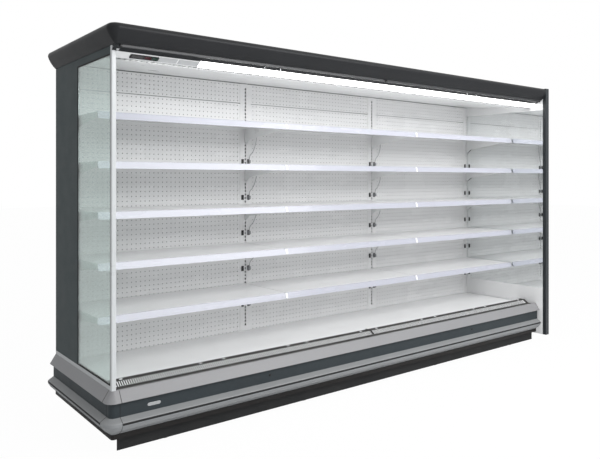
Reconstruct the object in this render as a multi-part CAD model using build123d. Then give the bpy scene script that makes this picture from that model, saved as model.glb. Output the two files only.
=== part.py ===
from build123d import *
import math
import os

os.makedirs("parts", exist_ok=True)

# Open multideck display fridge, in millimetres, +Z up.
# Everything is built in the shelving's own frame: X runs right from the left end of the shelf run,
# Y runs back from the shelf fronts and Z runs up from the floor. save() then moves each piece so
# that the origin lies on the floor under the middle of the whole footprint.

# ---- Overall sizes -------------------------------------------------------------------------
BAY_LENGTH = 1250.0
BAY_COUNT = 3
CABINET_TOP = 2162.0
CANOPY_FRONT = -338.0
CANOPY_LEFT = -65.0

# ---- End walls -----------------------------------------------------------------------------
LEFT_FACE = -18.0
LEFT_WALL = 16.0
RIGHT_GAP = 8.0
LINER_THICKNESS = 4.0
RIGHT_PANEL_THICKNESS = 41.0
RIGHT_PANEL_BOTTOM = 65.0
TRIM_DEPTH = 30.0
TRIM_EDGE_RADIUS = 2.0
MIRROR_BOTTOM = 458.0
MIRROR_TOP_DROP = 177.0

# ---- Feet and base frame -------------------------------------------------------------------
FOOT_PAD_RADIUS = 27.0
FOOT_PAD_HEIGHT = 12.0
FOOT_PAD_CHAMFER = 3.0
FOOT_STUD_RADIUS = 8.0
FOOT_NUT_HEIGHT = 10.0
FOOT_NUT_FLATS = 24.0
FOOT_NUT_CLEARANCE = 0.3
FOOT_INSET = 300.0
FRAME_BOTTOM = 78.0
FRAME_HEIGHT = 32.0
FRAME_BEAM_WIDTH = 60.0
FRAME_SHEET = 3.0
FRAME_REAR_INSET = 50.0
KICK_SETBACK = 33.0
KICK_SHEET = 2.0
KICK_CLEARANCE = 4.0
KICK_LEFT_INSET = 24.0

# ---- Foamed tub, rear wall and roof --------------------------------------------------------
TUB_LEFT = -12.0
TUB_FRONT = -236.0
TUB_HEIGHT = 186.0
TUB_WALL = 40.0
TUB_FLOOR = 50.0
TUB_CORNER_RADIUS = 8.0
DUCT_DEPTH = 105.0
REAR_WALL_THICKNESS = 60.0
ROOF_SKIN = 3.0
ROOF_NOSE_THICKNESS = 31.0
ROOF_THICKNESS = 59.0
ROOF_STEP_SETBACK = 148.0
ROOF_NOSE_REACH = 8.0
DRAIN_RADIUS = 20.0
DRAIN_WALL = 2.5
DRAIN_COLLAR_RADIUS = 22.0
DRAIN_FLANGE_RADIUS = 34.0
DRAIN_FLANGE = 3.0
DRAIN_DROP = 35.0
DRAIN_COLLAR_DROP = 2.0
DRAIN_HOLE_CLEARANCE = 0.3

# ---- Front and side cladding: sections as (outward from the tub, height) --------------------
RAIL_TOP = 324.0
RAIL_LOW_EDGE = 266.0
RAIL_REACH = 44.0
RAIL_RIDGE = 6.0
RAIL_RIDGE_RADIUS = 4.0
APRON_REACH = 20.0
APRON_FOOT_REACH = 8.0
BUMPER_TOP = 190.0
BUMPER_NOSE_TOP = 170.0
BUMPER_NOSE_BOTTOM = 153.0
BUMPER_REACH = 53.0
BUMPER_KNEE = 129.0
BUMPER_KNEE_REACH = 38.0
BUMPER_BOTTOM = 105.0
BUMPER_HOOK = 5.0
BUMPER_NOSE_RADIUS = 7.0
GROOVE_CENTRE = 162.0
GROOVE_HEIGHT = 6.0
GROOVE_DEPTH = 6.0
CLADDING_WALL = 3.0
APRON_WALL = 2.0
CORNER_SEAM_X = 20.0
CORNER_SEAM_Y = -206.0

# ---- Canopy --------------------------------------------------------------------------------
CANOPY_WALL = 3.0
CANOPY_REACH = 44.0
CANOPY_NOSE_RADIUS = 26.0
CANOPY_NOSE_END = 20.0
CANOPY_FACE_BULGE = 4.5
CANOPY_HEIGHT = 99.0
CANOPY_TOP_RETURN = 6.0
CANOPY_CORNER_RADIUS = 8.0
CANOPY_CORNER_LEG = 26.0
BLIND_SLOT = 8.0
LIP_BACK = -243.0
LIP_FALL = 25.0
LIP_SHEET = 3.0
LIP_WEB_OFFSET = 5.0
FASCIA_BACK = -200.0
FASCIA_FALL = 27.0
FASCIA_DROP = 2.2
FASCIA_SHEET = 2.0
FASCIA_FLANGE = 2.5
FASCIA_LENGTH = 488.0
DIFFUSER_GAP = 1.0
DIFFUSER_THICKNESS = 4.0
HONEYCOMB_DEPTH = 70.0
HONEYCOMB_HEIGHT = 25.0
HONEYCOMB_WALL = 1.6
HONEYCOMB_CELLS_PER_BAY = 40
HONEYCOMB_DROP = 1.0
CEILING_SHEET = 2.0
CEILING_RISE = 54.0
CEILING_STEP = 5.0

# ---- Back panels and uprights --------------------------------------------------------------
PANEL_TRAY_GAP = 7.0
PANEL_SHEET = 2.0
PANEL_BOTTOM = 304.0
PANEL_UPPER_HEIGHT = 138.0
PANEL_SPLIT_GAP = 4.0
PANEL_CEILING_DROP = 4.0
UPRIGHT_COVER_WIDTH = 90.0
UPRIGHT_COVER_SHEET = 2.0
UPRIGHT_CHANNEL_WIDTH = 40.0
SLOT_PITCH = 25.0
SLOT_HEIGHT = 14.0
SLOT_WIDTH = 12.0
SLOT_FIRST = 356.0
SLOT_LAST_DROP = 35.0
SOCKET_HEIGHTS = [503.0, 757.0, 1010.0, 1261.0, 1515.0]
SOCKET_OFFSET = 25.0
SOCKET_WIDTH = 17.0
SOCKET_TALL = 35.0
SOCKET_DEPTH = 5.0
SOCKET_CORNER_RADIUS = 2.0

# ---- Shelves -------------------------------------------------------------------------------
SHELF_HEIGHTS = [650.0, 937.5, 1212.5, 1485.0, 1752.0]
TRAY_DEPTH = 478.0
TRAY_SHEET = 2.0
TRAY_SKIRT = 34.0
TRAY_SIDE_SKIRT = 22.0
BRACKET_INSET = 2.0
BRACKET_SHEET = 2.0
BRACKET_NOSE_DEPTH = 30.0
BRACKET_ROOT_DEPTH = 108.0
BRACKET_HEEL = 50.0
BRACKET_HEEL_RISE = 25.0
BRACKET_FOOT = 17.0
HOOK_HEIGHT = 8.0
HOOK_REACH = 8.0
HOOK_GAP = 1.0
HOOK_DROP = 5.0
PRICE_RAIL_HEIGHT = 39.0
PRICE_RAIL_LIP = 1.0
PRICE_RAIL_TILT = 12.0
PRICE_RAIL_SHEET = 2.0
PRICE_RAIL_LIP_DEPTH = 3.0
LEAD_DIAMETER = 4.5
LEAD_BEND_SHARE = 0.45
PLUG_WIDTH = 14.0
PLUG_TALL = 26.0
PLUG_DEPTH = 18.0

# ---- Deck and air return grille ------------------------------------------------------------
PANS_PER_BAY = 2
PAN_GAP = 1.0
PAN_TOP = 314.0
PAN_SHEET = 2.0
PAN_FRONT = -88.0
PAN_REAR_GAP = 1.0
GRILLE_SHEET = 2.0
GRILLE_FLANGE = 314.0
GRILLE_FACE_FRONT = -168.0
GRILLE_FACE_BACK = -132.0
GRILLE_TOP = 338.0
GRILLE_SLOTS_PER_BAY = 98
GRILLE_SLOT_PITCH = 12.5
GRILLE_SLOT_WIDTH = 7.5
GRILLE_SLOT_LENGTH = 34.0

# ---- Fans and evaporator -------------------------------------------------------------------
FAN_PLATE_Y = 60.0
FAN_PLATE_SHEET = 2.0
FAN_BORE_RADIUS = 59.0
FAN_TIP_GAP = 3.0
FAN_RING_DEPTH = 22.0
FAN_RING_WALL = 3.0
FAN_HUB_RADIUS = 19.0
FAN_HUB_DEPTH = 20.0
FAN_BLADES = 5
FAN_BLADE_CHORD = 26.0
FAN_BLADE_THICKNESS = 2.4
FAN_BLADE_PITCH = 32.0
FAN_SHAFT_RADIUS = 3.0
FAN_SHAFT_CLEARANCE = 0.05
FAN_SHAFT_REACH = 14.0
FAN_SHAFT_END_GAP = 1.0
FAN_EDGE_RADIUS = 4.0
FAN_BLADE_ROOT = 3.0
FAN_MOTOR_RADIUS = 23.0
FAN_MOTOR_LENGTH = 45.0
SPIDER_ARM_WIDTH = 10.0
SPIDER_SHEET = 3.0
SPIDER_OVERLAP = 4.0
COIL_FRONT = 130.0
COIL_BACK = 430.0
COIL_END_INSET = 60.0
COIL_FIN_HEIGHT = 118.0
COIL_FIN_SHEET = 1.0
COIL_FINS = 37
COIL_END_SHEET = 2.0
COIL_TUBE_RADIUS = 6.0
COIL_TUBE_ROWS = 2
COIL_TUBE_COLUMNS = 4

# ---- Left end ------------------------------------------------------------------------------
POST_WIDTH = 23.0
POST_DEPTH = 18.0
POST_CORNER_RADIUS = 3.0
POST_GAP = 1.0
GLASS_PROFILE_HEIGHT = 21.0
GLASS_GROOVE_DEPTH = 10.0
GLASS_BACK = 264.0
GLASS_ARM_HEIGHT = 104.0
PANE_THICKNESS = 4.0
PANE_SPACE = 4.0

# ---- Night blinds --------------------------------------------------------------------------
BLIND_COUNT = 2
BLIND_POST_GAP = 3.0
BLIND_LEFT_GAP = 8.0
BLIND_RIGHT_GAP = 4.0
BAR_DEPTH = 10.0
BAR_HEIGHT = 12.0
BAR_TOP_GAP = 2.0
BAR_EDGE_RADIUS = 2.0
ROLL_RADIUS = 23.0
ROLL_PIN_RADIUS = 4.0
ROLL_PIN_CLEARANCE = 0.1
ROLL_PIN_LENGTH = 4.0
ROLL_HEIGHT_ABOVE_FACE = 35.0
ROLL_END_GAP = 5.0
ROLL_BRACKET_SHEET = 3.0
ROLL_BRACKET_MARGIN = 8.0
ROLL_BRACKET_DROP = 12.0
FABRIC_THICKNESS = 0.6
FABRIC_ROLL_GAP = 0.3
FABRIC_SIDE_INSET = 6.0
BOW_WIDTH = 116.0
BOW_DROP = 30.0
BOW_WIRE_RADIUS = 2.0
BOW_CORNER_RADIUS = 9.0
BOW_PIN_CLEARANCE = 0.1
BOW_SIDE_CLEARANCE = 0.4
BOW_BEND_MARGIN = 0.1
EAR_WIDTH = 6.0
EAR_DROP = 8.0
EAR_DEPTH = 8.0

# ---- Control unit --------------------------------------------------------------------------
CONTROL_X = 85.0
CONTROL_LENGTH = 160.0
CONTROL_WIDTH = 32.0
CONTROL_PLATE = 2.0
CONTROL_CORNER_RADIUS = 6.0
CONTROL_BODY_DEPTH = 18.0
CONTROL_BODY_MARGIN = 5.0
CONTROL_BODY_CLEARANCE = 0.5
DISPLAY_LENGTH = 78.0
DISPLAY_GAP = 5.0
WINDOW_INSET = 9.0
WINDOW_LENGTH = 66.0
WINDOW_WIDTH = 22.0
WINDOW_RECESS = 0.8
WINDOW_CORNER_RADIUS = 2.0
SWITCH_PITCH = 38.5
SWITCH_WELL_LENGTH = 34.0
SWITCH_WELL_WIDTH = 21.0
SWITCH_WELL_DEPTH = 15.0
ROCKER_LENGTH = 31.0
ROCKER_WIDTH = 19.6
ROCKER_END_RISE = 3.5
ROCKER_MIDDLE_RISE = 1.5
ROCKER_DRAFT = 4.0
ROCKER_TILT = 6.0
ROCKER_PIVOT_DEPTH = 4.0
ROCKER_PIN_RADIUS = 1.5
ROCKER_PIN_CLEARANCE = 0.05
ROCKER_PIN_LENGTH = 2.0
ROCKER_PIN_END_GAP = 0.2

# ---- Making ---------------------------------------------------------------------------------
CUT_PAST = 1.0    # how far a cut runs past the surface that it opens

# ---- Places that follow from the sizes above ------------------------------------------------
RUN = BAY_LENGTH * BAY_COUNT
RIGHT_INNER = RUN + RIGHT_GAP
RIGHT_CORE = RIGHT_INNER + LINER_THICKNESS
RIGHT_OUTER = RIGHT_CORE + RIGHT_PANEL_THICKNESS
LEFT_INNER = LEFT_FACE + LEFT_WALL
TUB_BOTTOM = FRAME_BOTTOM + FRAME_HEIGHT
TUB_TOP = TUB_BOTTOM + TUB_HEIGHT
TUB_FLOOR_TOP = TUB_BOTTOM + TUB_FLOOR
KICK_Y = TUB_FRONT + KICK_SETBACK
PANEL_FACE = TRAY_DEPTH + PANEL_TRAY_GAP
REAR_WALL_Y = PANEL_FACE + DUCT_DEPTH
CABINET_BACK = REAR_WALL_Y + REAR_WALL_THICKNESS
ROOF_TOP = CABINET_TOP - ROOF_SKIN
ROOF_NOSE_BOTTOM = ROOF_TOP - ROOF_NOSE_THICKNESS
ROOF_BOTTOM = ROOF_TOP - ROOF_THICKNESS
MIRROR_TOP = CABINET_TOP - MIRROR_TOP_DROP
GLASS_TOP = ROOF_NOSE_BOTTOM - GLASS_ARM_HEIGHT
CANOPY_FACE_BOTTOM = CABINET_TOP - CANOPY_HEIGHT
LIP_BACK_HEIGHT = CANOPY_FACE_BOTTOM - LIP_FALL
FASCIA_BACK_HEIGHT = LIP_BACK_HEIGHT - FASCIA_FALL
FACE_Y = CANOPY_FRONT + CANOPY_REACH
FACE_X = CANOPY_LEFT + CANOPY_REACH
LIP_FRONT = FACE_Y + CANOPY_WALL + BLIND_SLOT
BLIND_Y = FACE_Y + CANOPY_WALL + BLIND_SLOT / 2
COVER_FACE = PANEL_FACE - UPRIGHT_COVER_SHEET
POST_RIGHT = LEFT_FACE + POST_WIDTH
POST_FRONT = TUB_FRONT - RAIL_RIDGE
POST_BACK = POST_FRONT + POST_DEPTH
GLASS_PROFILE_TOP = RAIL_TOP + GLASS_PROFILE_HEIGHT
BLIND_SPAN = RUN / BLIND_COUNT
ROLL_Y = BLIND_Y + FABRIC_THICKNESS / 2 + ROLL_RADIUS
ROLL_Z = CANOPY_FACE_BOTTOM + ROLL_HEIGHT_ABOVE_FACE
BAR_TOP = CANOPY_FACE_BOTTOM - BAR_TOP_GAP
BAR_BOTTOM = BAR_TOP - BAR_HEIGHT
BOW_Z = BAR_BOTTOM - EAR_DROP / 2
FAN_Z = (TUB_FLOOR_TOP + TUB_TOP) / 2
HONEYCOMB_Y = FASCIA_BACK + FASCIA_FLANGE
CEILING_Y = HONEYCOMB_Y + HONEYCOMB_DEPTH
CEILING_FRONT_Z = FASCIA_BACK_HEIGHT + CEILING_STEP
CEILING_BACK_Z = CEILING_FRONT_Z + CEILING_RISE
PANEL_TOP = CEILING_BACK_Z - PANEL_CEILING_DROP
PANEL_SPLIT = PANEL_TOP - PANEL_UPPER_HEIGHT
SLOT_COUNT = int((PANEL_TOP - SLOT_LAST_DROP - SLOT_FIRST) / SLOT_PITCH) + 1
ROW_X = -(CANOPY_LEFT + RIGHT_OUTER) / 2
ROW_Y = -(CANOPY_FRONT + CABINET_BACK) / 2


# ---- Ways of making a piece -----------------------------------------------------------------
def save(name, *pieces):
    """Move the pieces to the middle of the footprint and write them as one node."""
    place = Location((ROW_X, ROW_Y, 0))
    solids = [s.moved(place) for piece in pieces for s in piece.solids()]
    export_step(Compound(solids), f"parts/{name}.step")


def block(x, y, z):
    """A box from three (low, high) pairs."""
    size = Box(x[1] - x[0], y[1] - y[0], z[1] - z[0])
    return Pos((x[0] + x[1]) / 2, (y[0] + y[1]) / 2, (z[0] + z[1]) / 2) * size


def round_bar(radius, low, high):
    """An upright cylinder between two heights."""
    return Pos(0, 0, low) * Cylinder(radius, high - low, align=(Align.CENTER, Align.CENTER, Align.MIN))


def outline(points):
    """A closed flat outline through the points."""
    return make_face(Polyline(points, close=True).edges())


def inset(points, wall):
    """The outline's corners moved inwards by the wall, as the crossings of its shifted edges."""
    area = sum(a[0] * b[1] - b[0] * a[1] for a, b in zip(points, points[1:] + points[:1]))
    turn = math.copysign(1, area)
    lines = []
    for a, b in zip(points, points[1:] + points[:1]):
        length = math.dist(a, b)
        normal = (-(b[1] - a[1]) / length * turn, (b[0] - a[0]) / length * turn)
        lines.append((normal, normal[0] * a[0] + normal[1] * a[1] + wall))
    corners = []
    for (n, c), (m, d) in zip(lines[-1:] + lines[:-1], lines):
        cross = n[0] * m[1] - n[1] * m[0]
        corners.append(((c * m[1] - d * n[1]) / cross, (d * n[0] - c * m[0]) / cross))
    return corners


def hollow(points, wall, rounds=(), chambers=None):
    """A tube section with this wall. rounds lists (corner, radius) of its outer corners, and
    chambers the outlines to hollow where that isn't the whole section as one."""
    shape = outline(points)
    for corner, radius in rounds:
        shape = fillet(shape.vertices().sort_by_distance(corner)[0], radius)
    for chamber in chambers or [points]:
        shape -= outline(inset(chamber, wall))
    return shape


def reach_at(a, b, height):
    """Where the straight line between two section points crosses a height."""
    return a[0] + (b[0] - a[0]) * (height - a[1]) / (b[1] - a[1])


def height_at(a, b, reach):
    """Height of the straight line between two section points at a reach."""
    return a[1] + (b[1] - a[1]) * (reach - a[0]) / (b[0] - a[0])


def along_x(section, x0, x1):
    """A length with the (y, z) section, from x0 to x1."""
    return extrude(Plane.YZ.offset(x0) * section, amount=x1 - x0, dir=(1, 0, 0))


def front_run(section, x0, x1, y_ref):
    """Cladding with the (outward, height) section along the front, outward being -Y."""
    plane = Plane(origin=(x0, y_ref, 0), x_dir=(0, -1, 0), z_dir=(-1, 0, 0))
    return extrude(plane * section, amount=x1 - x0, dir=(1, 0, 0))


def side_run(section, y0, y1, x_ref):
    """Cladding with the (outward, height) section along the left side, outward being -X."""
    plane = Plane(origin=(x_ref, y0, 0), x_dir=(-1, 0, 0), z_dir=(0, 1, 0))
    return extrude(plane * section, amount=y1 - y0, dir=(0, 1, 0))


def corner_run(section, x_ref, y_ref, radius, seam_x, seam_y):
    """The rounded left-front corner piece, with a short leg up to each seam."""
    centre_x = x_ref + radius
    centre_y = y_ref + radius
    plane = Plane(origin=(x_ref, centre_y, 0), x_dir=(-1, 0, 0), z_dir=(0, 1, 0))
    axis = Axis((centre_x, centre_y, 0), (0, 0, 1))
    bend = revolve(plane * section, axis, revolution_arc=90)
    side_leg = side_run(section, centre_y, seam_y, x_ref)
    front_leg = front_run(section, centre_x, seam_x, y_ref)
    return bend + side_leg + front_leg


# ---- Base -----------------------------------------------------------------------------------
def foot_places():
    """The eight feet: four along the front beam and four along the rear beam."""
    xs = [FOOT_INSET] + [BAY_LENGTH * i for i in range(1, BAY_COUNT)] + [RUN - FOOT_INSET]
    front = KICK_Y + KICK_SHEET + FRAME_BEAM_WIDTH / 2
    rear = CABINET_BACK - FRAME_REAR_INSET - FRAME_BEAM_WIDTH / 2
    return [(x, y) for x in xs for y in (front, rear)]


def base_frame():
    """Welded channels, open downwards: two long beams and a cross beam at each pair of feet."""
    front = KICK_Y + KICK_SHEET
    rear = CABINET_BACK - FRAME_REAR_INSET
    left = KICK_LEFT_INSET
    height = (FRAME_BOTTOM, TUB_BOTTOM)
    half = FRAME_BEAM_WIDTH / 2
    beams = [
        ((left, RIGHT_INNER), (front, front + FRAME_BEAM_WIDTH)),
        ((left, RIGHT_INNER), (rear - FRAME_BEAM_WIDTH, rear)),
    ]
    beams += [((x - half, x + half), (front, rear)) for x in sorted({x for x, y in foot_places()})]
    frame = block(*beams[0], height)
    for beam in beams[1:]:
        frame += block(*beam, height)
    inner_z = (FRAME_BOTTOM, TUB_BOTTOM - FRAME_SHEET)
    for x, y in beams:
        inner_x = (x[0] + FRAME_SHEET, x[1] - FRAME_SHEET)
        inner_y = (y[0] + FRAME_SHEET, y[1] - FRAME_SHEET)
        frame -= block(inner_x, inner_y, inner_z)
    return frame


def levelling_feet():
    """Round pad and stud in one, screwed up under the beams, each with its lock nut."""
    solids = []
    seat = TUB_BOTTOM - FRAME_SHEET
    for x, y in foot_places():
        pad = round_bar(FOOT_PAD_RADIUS, 0, FOOT_PAD_HEIGHT)
        pad = chamfer(pad.edges().group_by(Axis.Z)[-1], FOOT_PAD_CHAMFER)
        stud = round_bar(FOOT_STUD_RADIUS, 0, seat)
        solids.append(Pos(x, y, 0) * (pad + stud))
        nut = extrude(RegularPolygon(FOOT_NUT_FLATS / 2, 6, major_radius=False), FOOT_NUT_HEIGHT)
        thread_room = round_bar(FOOT_STUD_RADIUS + FOOT_NUT_CLEARANCE, -CUT_PAST, FOOT_NUT_HEIGHT + CUT_PAST)
        solids.append(Pos(x, y, seat - FOOT_NUT_HEIGHT) * (nut - thread_room))
    return solids


def kick_plate():
    """Recessed plate along the front, clear of the floor."""
    x = (KICK_LEFT_INSET, RIGHT_INNER)
    return block(x, (KICK_Y, KICK_Y + KICK_SHEET), (KICK_CLEARANCE, TUB_BOTTOM))


def drain_place():
    return (RUN / 2, (TUB_FRONT + TUB_WALL + FAN_PLATE_Y) / 2)


def tub():
    """Foamed tub under the deck, bonded from panels: floor, front wall, end walls and rear sill."""
    x = (TUB_LEFT, RIGHT_INNER)
    wall_z = (TUB_FLOOR_TOP, TUB_TOP)
    end_y = (TUB_FRONT + TUB_WALL, REAR_WALL_Y)
    floor = block(x, (TUB_FRONT, CABINET_BACK), (TUB_BOTTOM, TUB_FLOOR_TOP))
    front = block(x, (TUB_FRONT, TUB_FRONT + TUB_WALL), wall_z)
    rounded = []
    for panel in (floor, front):
        corner = panel.edges().filter_by(Axis.Z).sort_by_distance((TUB_LEFT, TUB_FRONT, TUB_FLOOR_TOP))[0]
        rounded.append(fillet(corner, TUB_CORNER_RADIUS))
    floor, front = rounded
    hole_radius = DRAIN_COLLAR_RADIUS + DRAIN_HOLE_CLEARANCE
    hole = round_bar(hole_radius, TUB_BOTTOM - CUT_PAST, TUB_FLOOR_TOP + CUT_PAST)
    floor -= Pos(*drain_place(), 0) * hole
    left = block((TUB_LEFT, TUB_LEFT + TUB_WALL), end_y, wall_z)
    right = block((RIGHT_INNER - TUB_WALL, RIGHT_INNER), end_y, wall_z)
    sill = block(x, (REAR_WALL_Y, CABINET_BACK), wall_z)
    return [floor, front, left, right, sill]


def drain_outlet():
    """Flanged drain through the tub floor, with a thinner spigot below it for the waste pipe."""
    low = TUB_BOTTOM - DRAIN_DROP
    high = TUB_FLOOR_TOP + DRAIN_FLANGE
    collar_low = TUB_BOTTOM - DRAIN_COLLAR_DROP
    spigot = round_bar(DRAIN_RADIUS, low, collar_low)
    collar = round_bar(DRAIN_COLLAR_RADIUS, collar_low, TUB_FLOOR_TOP)
    flange = round_bar(DRAIN_FLANGE_RADIUS, TUB_FLOOR_TOP, high)
    bore = round_bar(DRAIN_RADIUS - DRAIN_WALL, low - CUT_PAST, high + CUT_PAST)
    return Pos(*drain_place(), 0) * (spigot + collar + flange - bore)


# ---- Cladding -------------------------------------------------------------------------------
def rail_section():
    ridge = (RAIL_RIDGE, RAIL_TOP)
    low_edge = (RAIL_REACH, RAIL_LOW_EDGE)
    points = [
        (-RAIL_RIDGE, TUB_TOP), (-RAIL_RIDGE, RAIL_TOP), ridge,
        low_edge, (APRON_REACH, RAIL_LOW_EDGE), (APRON_REACH, TUB_TOP),
    ]
    upper = points[:3] + [(reach_at(ridge, low_edge, TUB_TOP), TUB_TOP)]
    apron_top = (APRON_REACH, height_at(ridge, low_edge, APRON_REACH))
    lower = [low_edge, (APRON_REACH, RAIL_LOW_EDGE), apron_top]
    rounds = [(ridge, RAIL_RIDGE_RADIUS), (low_edge, CLADDING_WALL)]
    return hollow(points, CLADDING_WALL, rounds, [upper, lower])


def bumper_underside():
    """The knee and the toe that the bumper's slanted underside runs between."""
    return (BUMPER_KNEE_REACH, BUMPER_KNEE), (APRON_FOOT_REACH, BUMPER_BOTTOM)


def apron_step():
    """Height of the apron's step, which leaves the bumper's hook its thickness under it."""
    return height_at(*bumper_underside(), APRON_REACH) + BUMPER_HOOK


def apron_section():
    step = apron_step()
    return hollow([
        (0, FRAME_BOTTOM), (APRON_FOOT_REACH, FRAME_BOTTOM), (APRON_FOOT_REACH, step),
        (APRON_REACH, step), (APRON_REACH, TUB_TOP), (0, TUB_TOP),
    ], APRON_WALL)


def bumper_section(grooved):
    """Hollow bumper that hooks under the apron's step; only the straight lengths have the groove."""
    nose_top = (BUMPER_REACH, BUMPER_NOSE_TOP)
    nose_bottom = (BUMPER_REACH, BUMPER_NOSE_BOTTOM)
    knee, toe = bumper_underside()
    head = [(APRON_REACH, BUMPER_TOP), nose_top, nose_bottom, knee]
    points = head + [toe, (APRON_FOOT_REACH, apron_step()), (APRON_REACH, apron_step())]
    chamber = head + [(APRON_REACH, height_at(knee, toe, APRON_REACH))]
    rounds = [(nose_top, BUMPER_NOSE_RADIUS), (nose_bottom, BUMPER_NOSE_RADIUS)]
    shape = hollow(points, CLADDING_WALL, rounds, [chamber])
    if grooved:
        floor = BUMPER_REACH - GROOVE_DEPTH
        low = GROOVE_CENTRE - GROOVE_HEIGHT / 2
        high = GROOVE_CENTRE + GROOVE_HEIGHT / 2
        wall = CLADDING_WALL / 2
        front = BUMPER_REACH - wall
        back = floor - wall
        lining = [(back, low - wall), (front, low - wall), (front, high + wall), (back, high + wall)]
        past = BUMPER_REACH + CUT_PAST
        shape += outline(lining)
        shape -= outline([(floor, low), (past, low), (past, high), (floor, high)])
    return shape


def front_piece(section):
    return front_run(section, CORNER_SEAM_X, RIGHT_INNER, TUB_FRONT)


def side_piece(section):
    return side_run(section, CORNER_SEAM_Y, CABINET_BACK, TUB_LEFT)


def corner_piece(section):
    return corner_run(section, TUB_LEFT, TUB_FRONT, TUB_CORNER_RADIUS, CORNER_SEAM_X, CORNER_SEAM_Y)


# ---- Deck -----------------------------------------------------------------------------------
def deck_pans():
    """Two folded pans a bay, with their rims turned down onto what carries them."""
    pans = []
    width = BAY_LENGTH / PANS_PER_BAY
    rear = COVER_FACE - PAN_REAR_GAP
    for i in range(PANS_PER_BAY * BAY_COUNT):
        left = i * width + PAN_GAP / 2
        right = (i + 1) * width - PAN_GAP / 2
        pan = block((left, right), (PAN_FRONT, rear), (TUB_TOP, PAN_TOP))
        inner_x = (left + PAN_SHEET, right - PAN_SHEET)
        pan -= block(inner_x, (PAN_FRONT + PAN_SHEET, rear - PAN_SHEET), (TUB_TOP, PAN_TOP - PAN_SHEET))
        pans.append(pan)
    return pans


def return_grille():
    """Folded air return grille: foot on the tub's front wall, slotted slope, flat top and back leg."""
    t = GRILLE_SHEET
    front = TUB_FRONT + RAIL_RIDGE
    slope = math.atan2(GRILLE_TOP - GRILLE_FLANGE, GRILLE_FACE_BACK - GRILLE_FACE_FRONT)
    shift = t * math.tan(slope / 2)
    body = along_x(outline([
        (front, TUB_TOP), (front, GRILLE_FLANGE), (GRILLE_FACE_FRONT, GRILLE_FLANGE),
        (GRILLE_FACE_BACK, GRILLE_TOP), (PAN_FRONT, GRILLE_TOP), (PAN_FRONT, TUB_TOP + t),
        (PAN_FRONT - t, TUB_TOP + t), (PAN_FRONT - t, GRILLE_TOP - t),
        (GRILLE_FACE_BACK + shift, GRILLE_TOP - t), (GRILLE_FACE_FRONT + shift, GRILLE_FLANGE - t),
        (front + t, GRILLE_FLANGE - t), (front + t, TUB_TOP),
    ]), LEFT_INNER, RIGHT_INNER)
    body -= block((LEFT_INNER, POST_RIGHT), (front - CUT_PAST, POST_BACK), (TUB_TOP - CUT_PAST, GRILLE_TOP))
    middle_y = (GRILLE_FACE_FRONT + GRILLE_FACE_BACK) / 2
    middle_z = (GRILLE_FLANGE + GRILLE_TOP) / 2
    face = Plane(
        origin=(RUN / 2, middle_y, middle_z),
        x_dir=(1, 0, 0),
        z_dir=(0, -math.sin(slope), math.cos(slope)),
    )
    slot = Rectangle(GRILLE_SLOT_WIDTH, GRILLE_SLOT_LENGTH)
    count = GRILLE_SLOTS_PER_BAY * BAY_COUNT
    slots = [loc * slot for loc in GridLocations(GRILLE_SLOT_PITCH, 1, count, 1)]
    cutter = extrude(face.offset(-t * 2) * (Sketch() + slots), t * 3)
    return body - cutter


# ---- Air side -------------------------------------------------------------------------------
def fan_places():
    return [(BAY_LENGTH * (i + 0.5), FAN_PLATE_Y, FAN_Z) for i in range(BAY_COUNT)]


def facing_front(x, y, z):
    """A plane at the point whose normal is -Y."""
    return Plane(origin=(x, y, z), x_dir=(1, 0, 0), z_dir=(0, -1, 0))


def fan_plate():
    """Upright partition across the tub with a bore and a bell ring for each fan."""
    y = (FAN_PLATE_Y, FAN_PLATE_Y + FAN_PLATE_SHEET)
    plate = block((TUB_LEFT + TUB_WALL, RIGHT_INNER - TUB_WALL), y, (TUB_FLOOR_TOP, TUB_TOP))
    for place in fan_places():
        spot = facing_front(*place)
        ring = Circle(FAN_BORE_RADIUS + FAN_RING_WALL) - Circle(FAN_BORE_RADIUS)
        plate -= extrude(spot * Circle(FAN_BORE_RADIUS), FAN_PLATE_SHEET * 2, both=True)
        plate += extrude(spot * ring, FAN_RING_DEPTH)
    return plate


def fan_motors():
    """Motor can on a four-armed spider behind the plate, with its shaft pointing forwards."""
    motors = []
    reach = FAN_BORE_RADIUS + FAN_RING_WALL + SPIDER_OVERLAP
    for x, y, z in fan_places():
        back = facing_front(x, y + FAN_PLATE_SHEET, z)
        arms = extrude(back * Rectangle(reach * 2, SPIDER_ARM_WIDTH), -SPIDER_SHEET)
        arms += extrude(back * Rectangle(SPIDER_ARM_WIDTH, reach * 2), -SPIDER_SHEET)
        can = extrude(back.offset(-SPIDER_SHEET) * Circle(FAN_MOTOR_RADIUS), -FAN_MOTOR_LENGTH)
        can = fillet(can.edges().filter_by(GeomType.CIRCLE).sort_by(Axis.Y)[-1], FAN_EDGE_RADIUS)
        shaft = extrude(back * Circle(FAN_SHAFT_RADIUS), FAN_PLATE_SHEET + FAN_SHAFT_REACH)
        motors.append(arms + can + shaft)
    return motors


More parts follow.
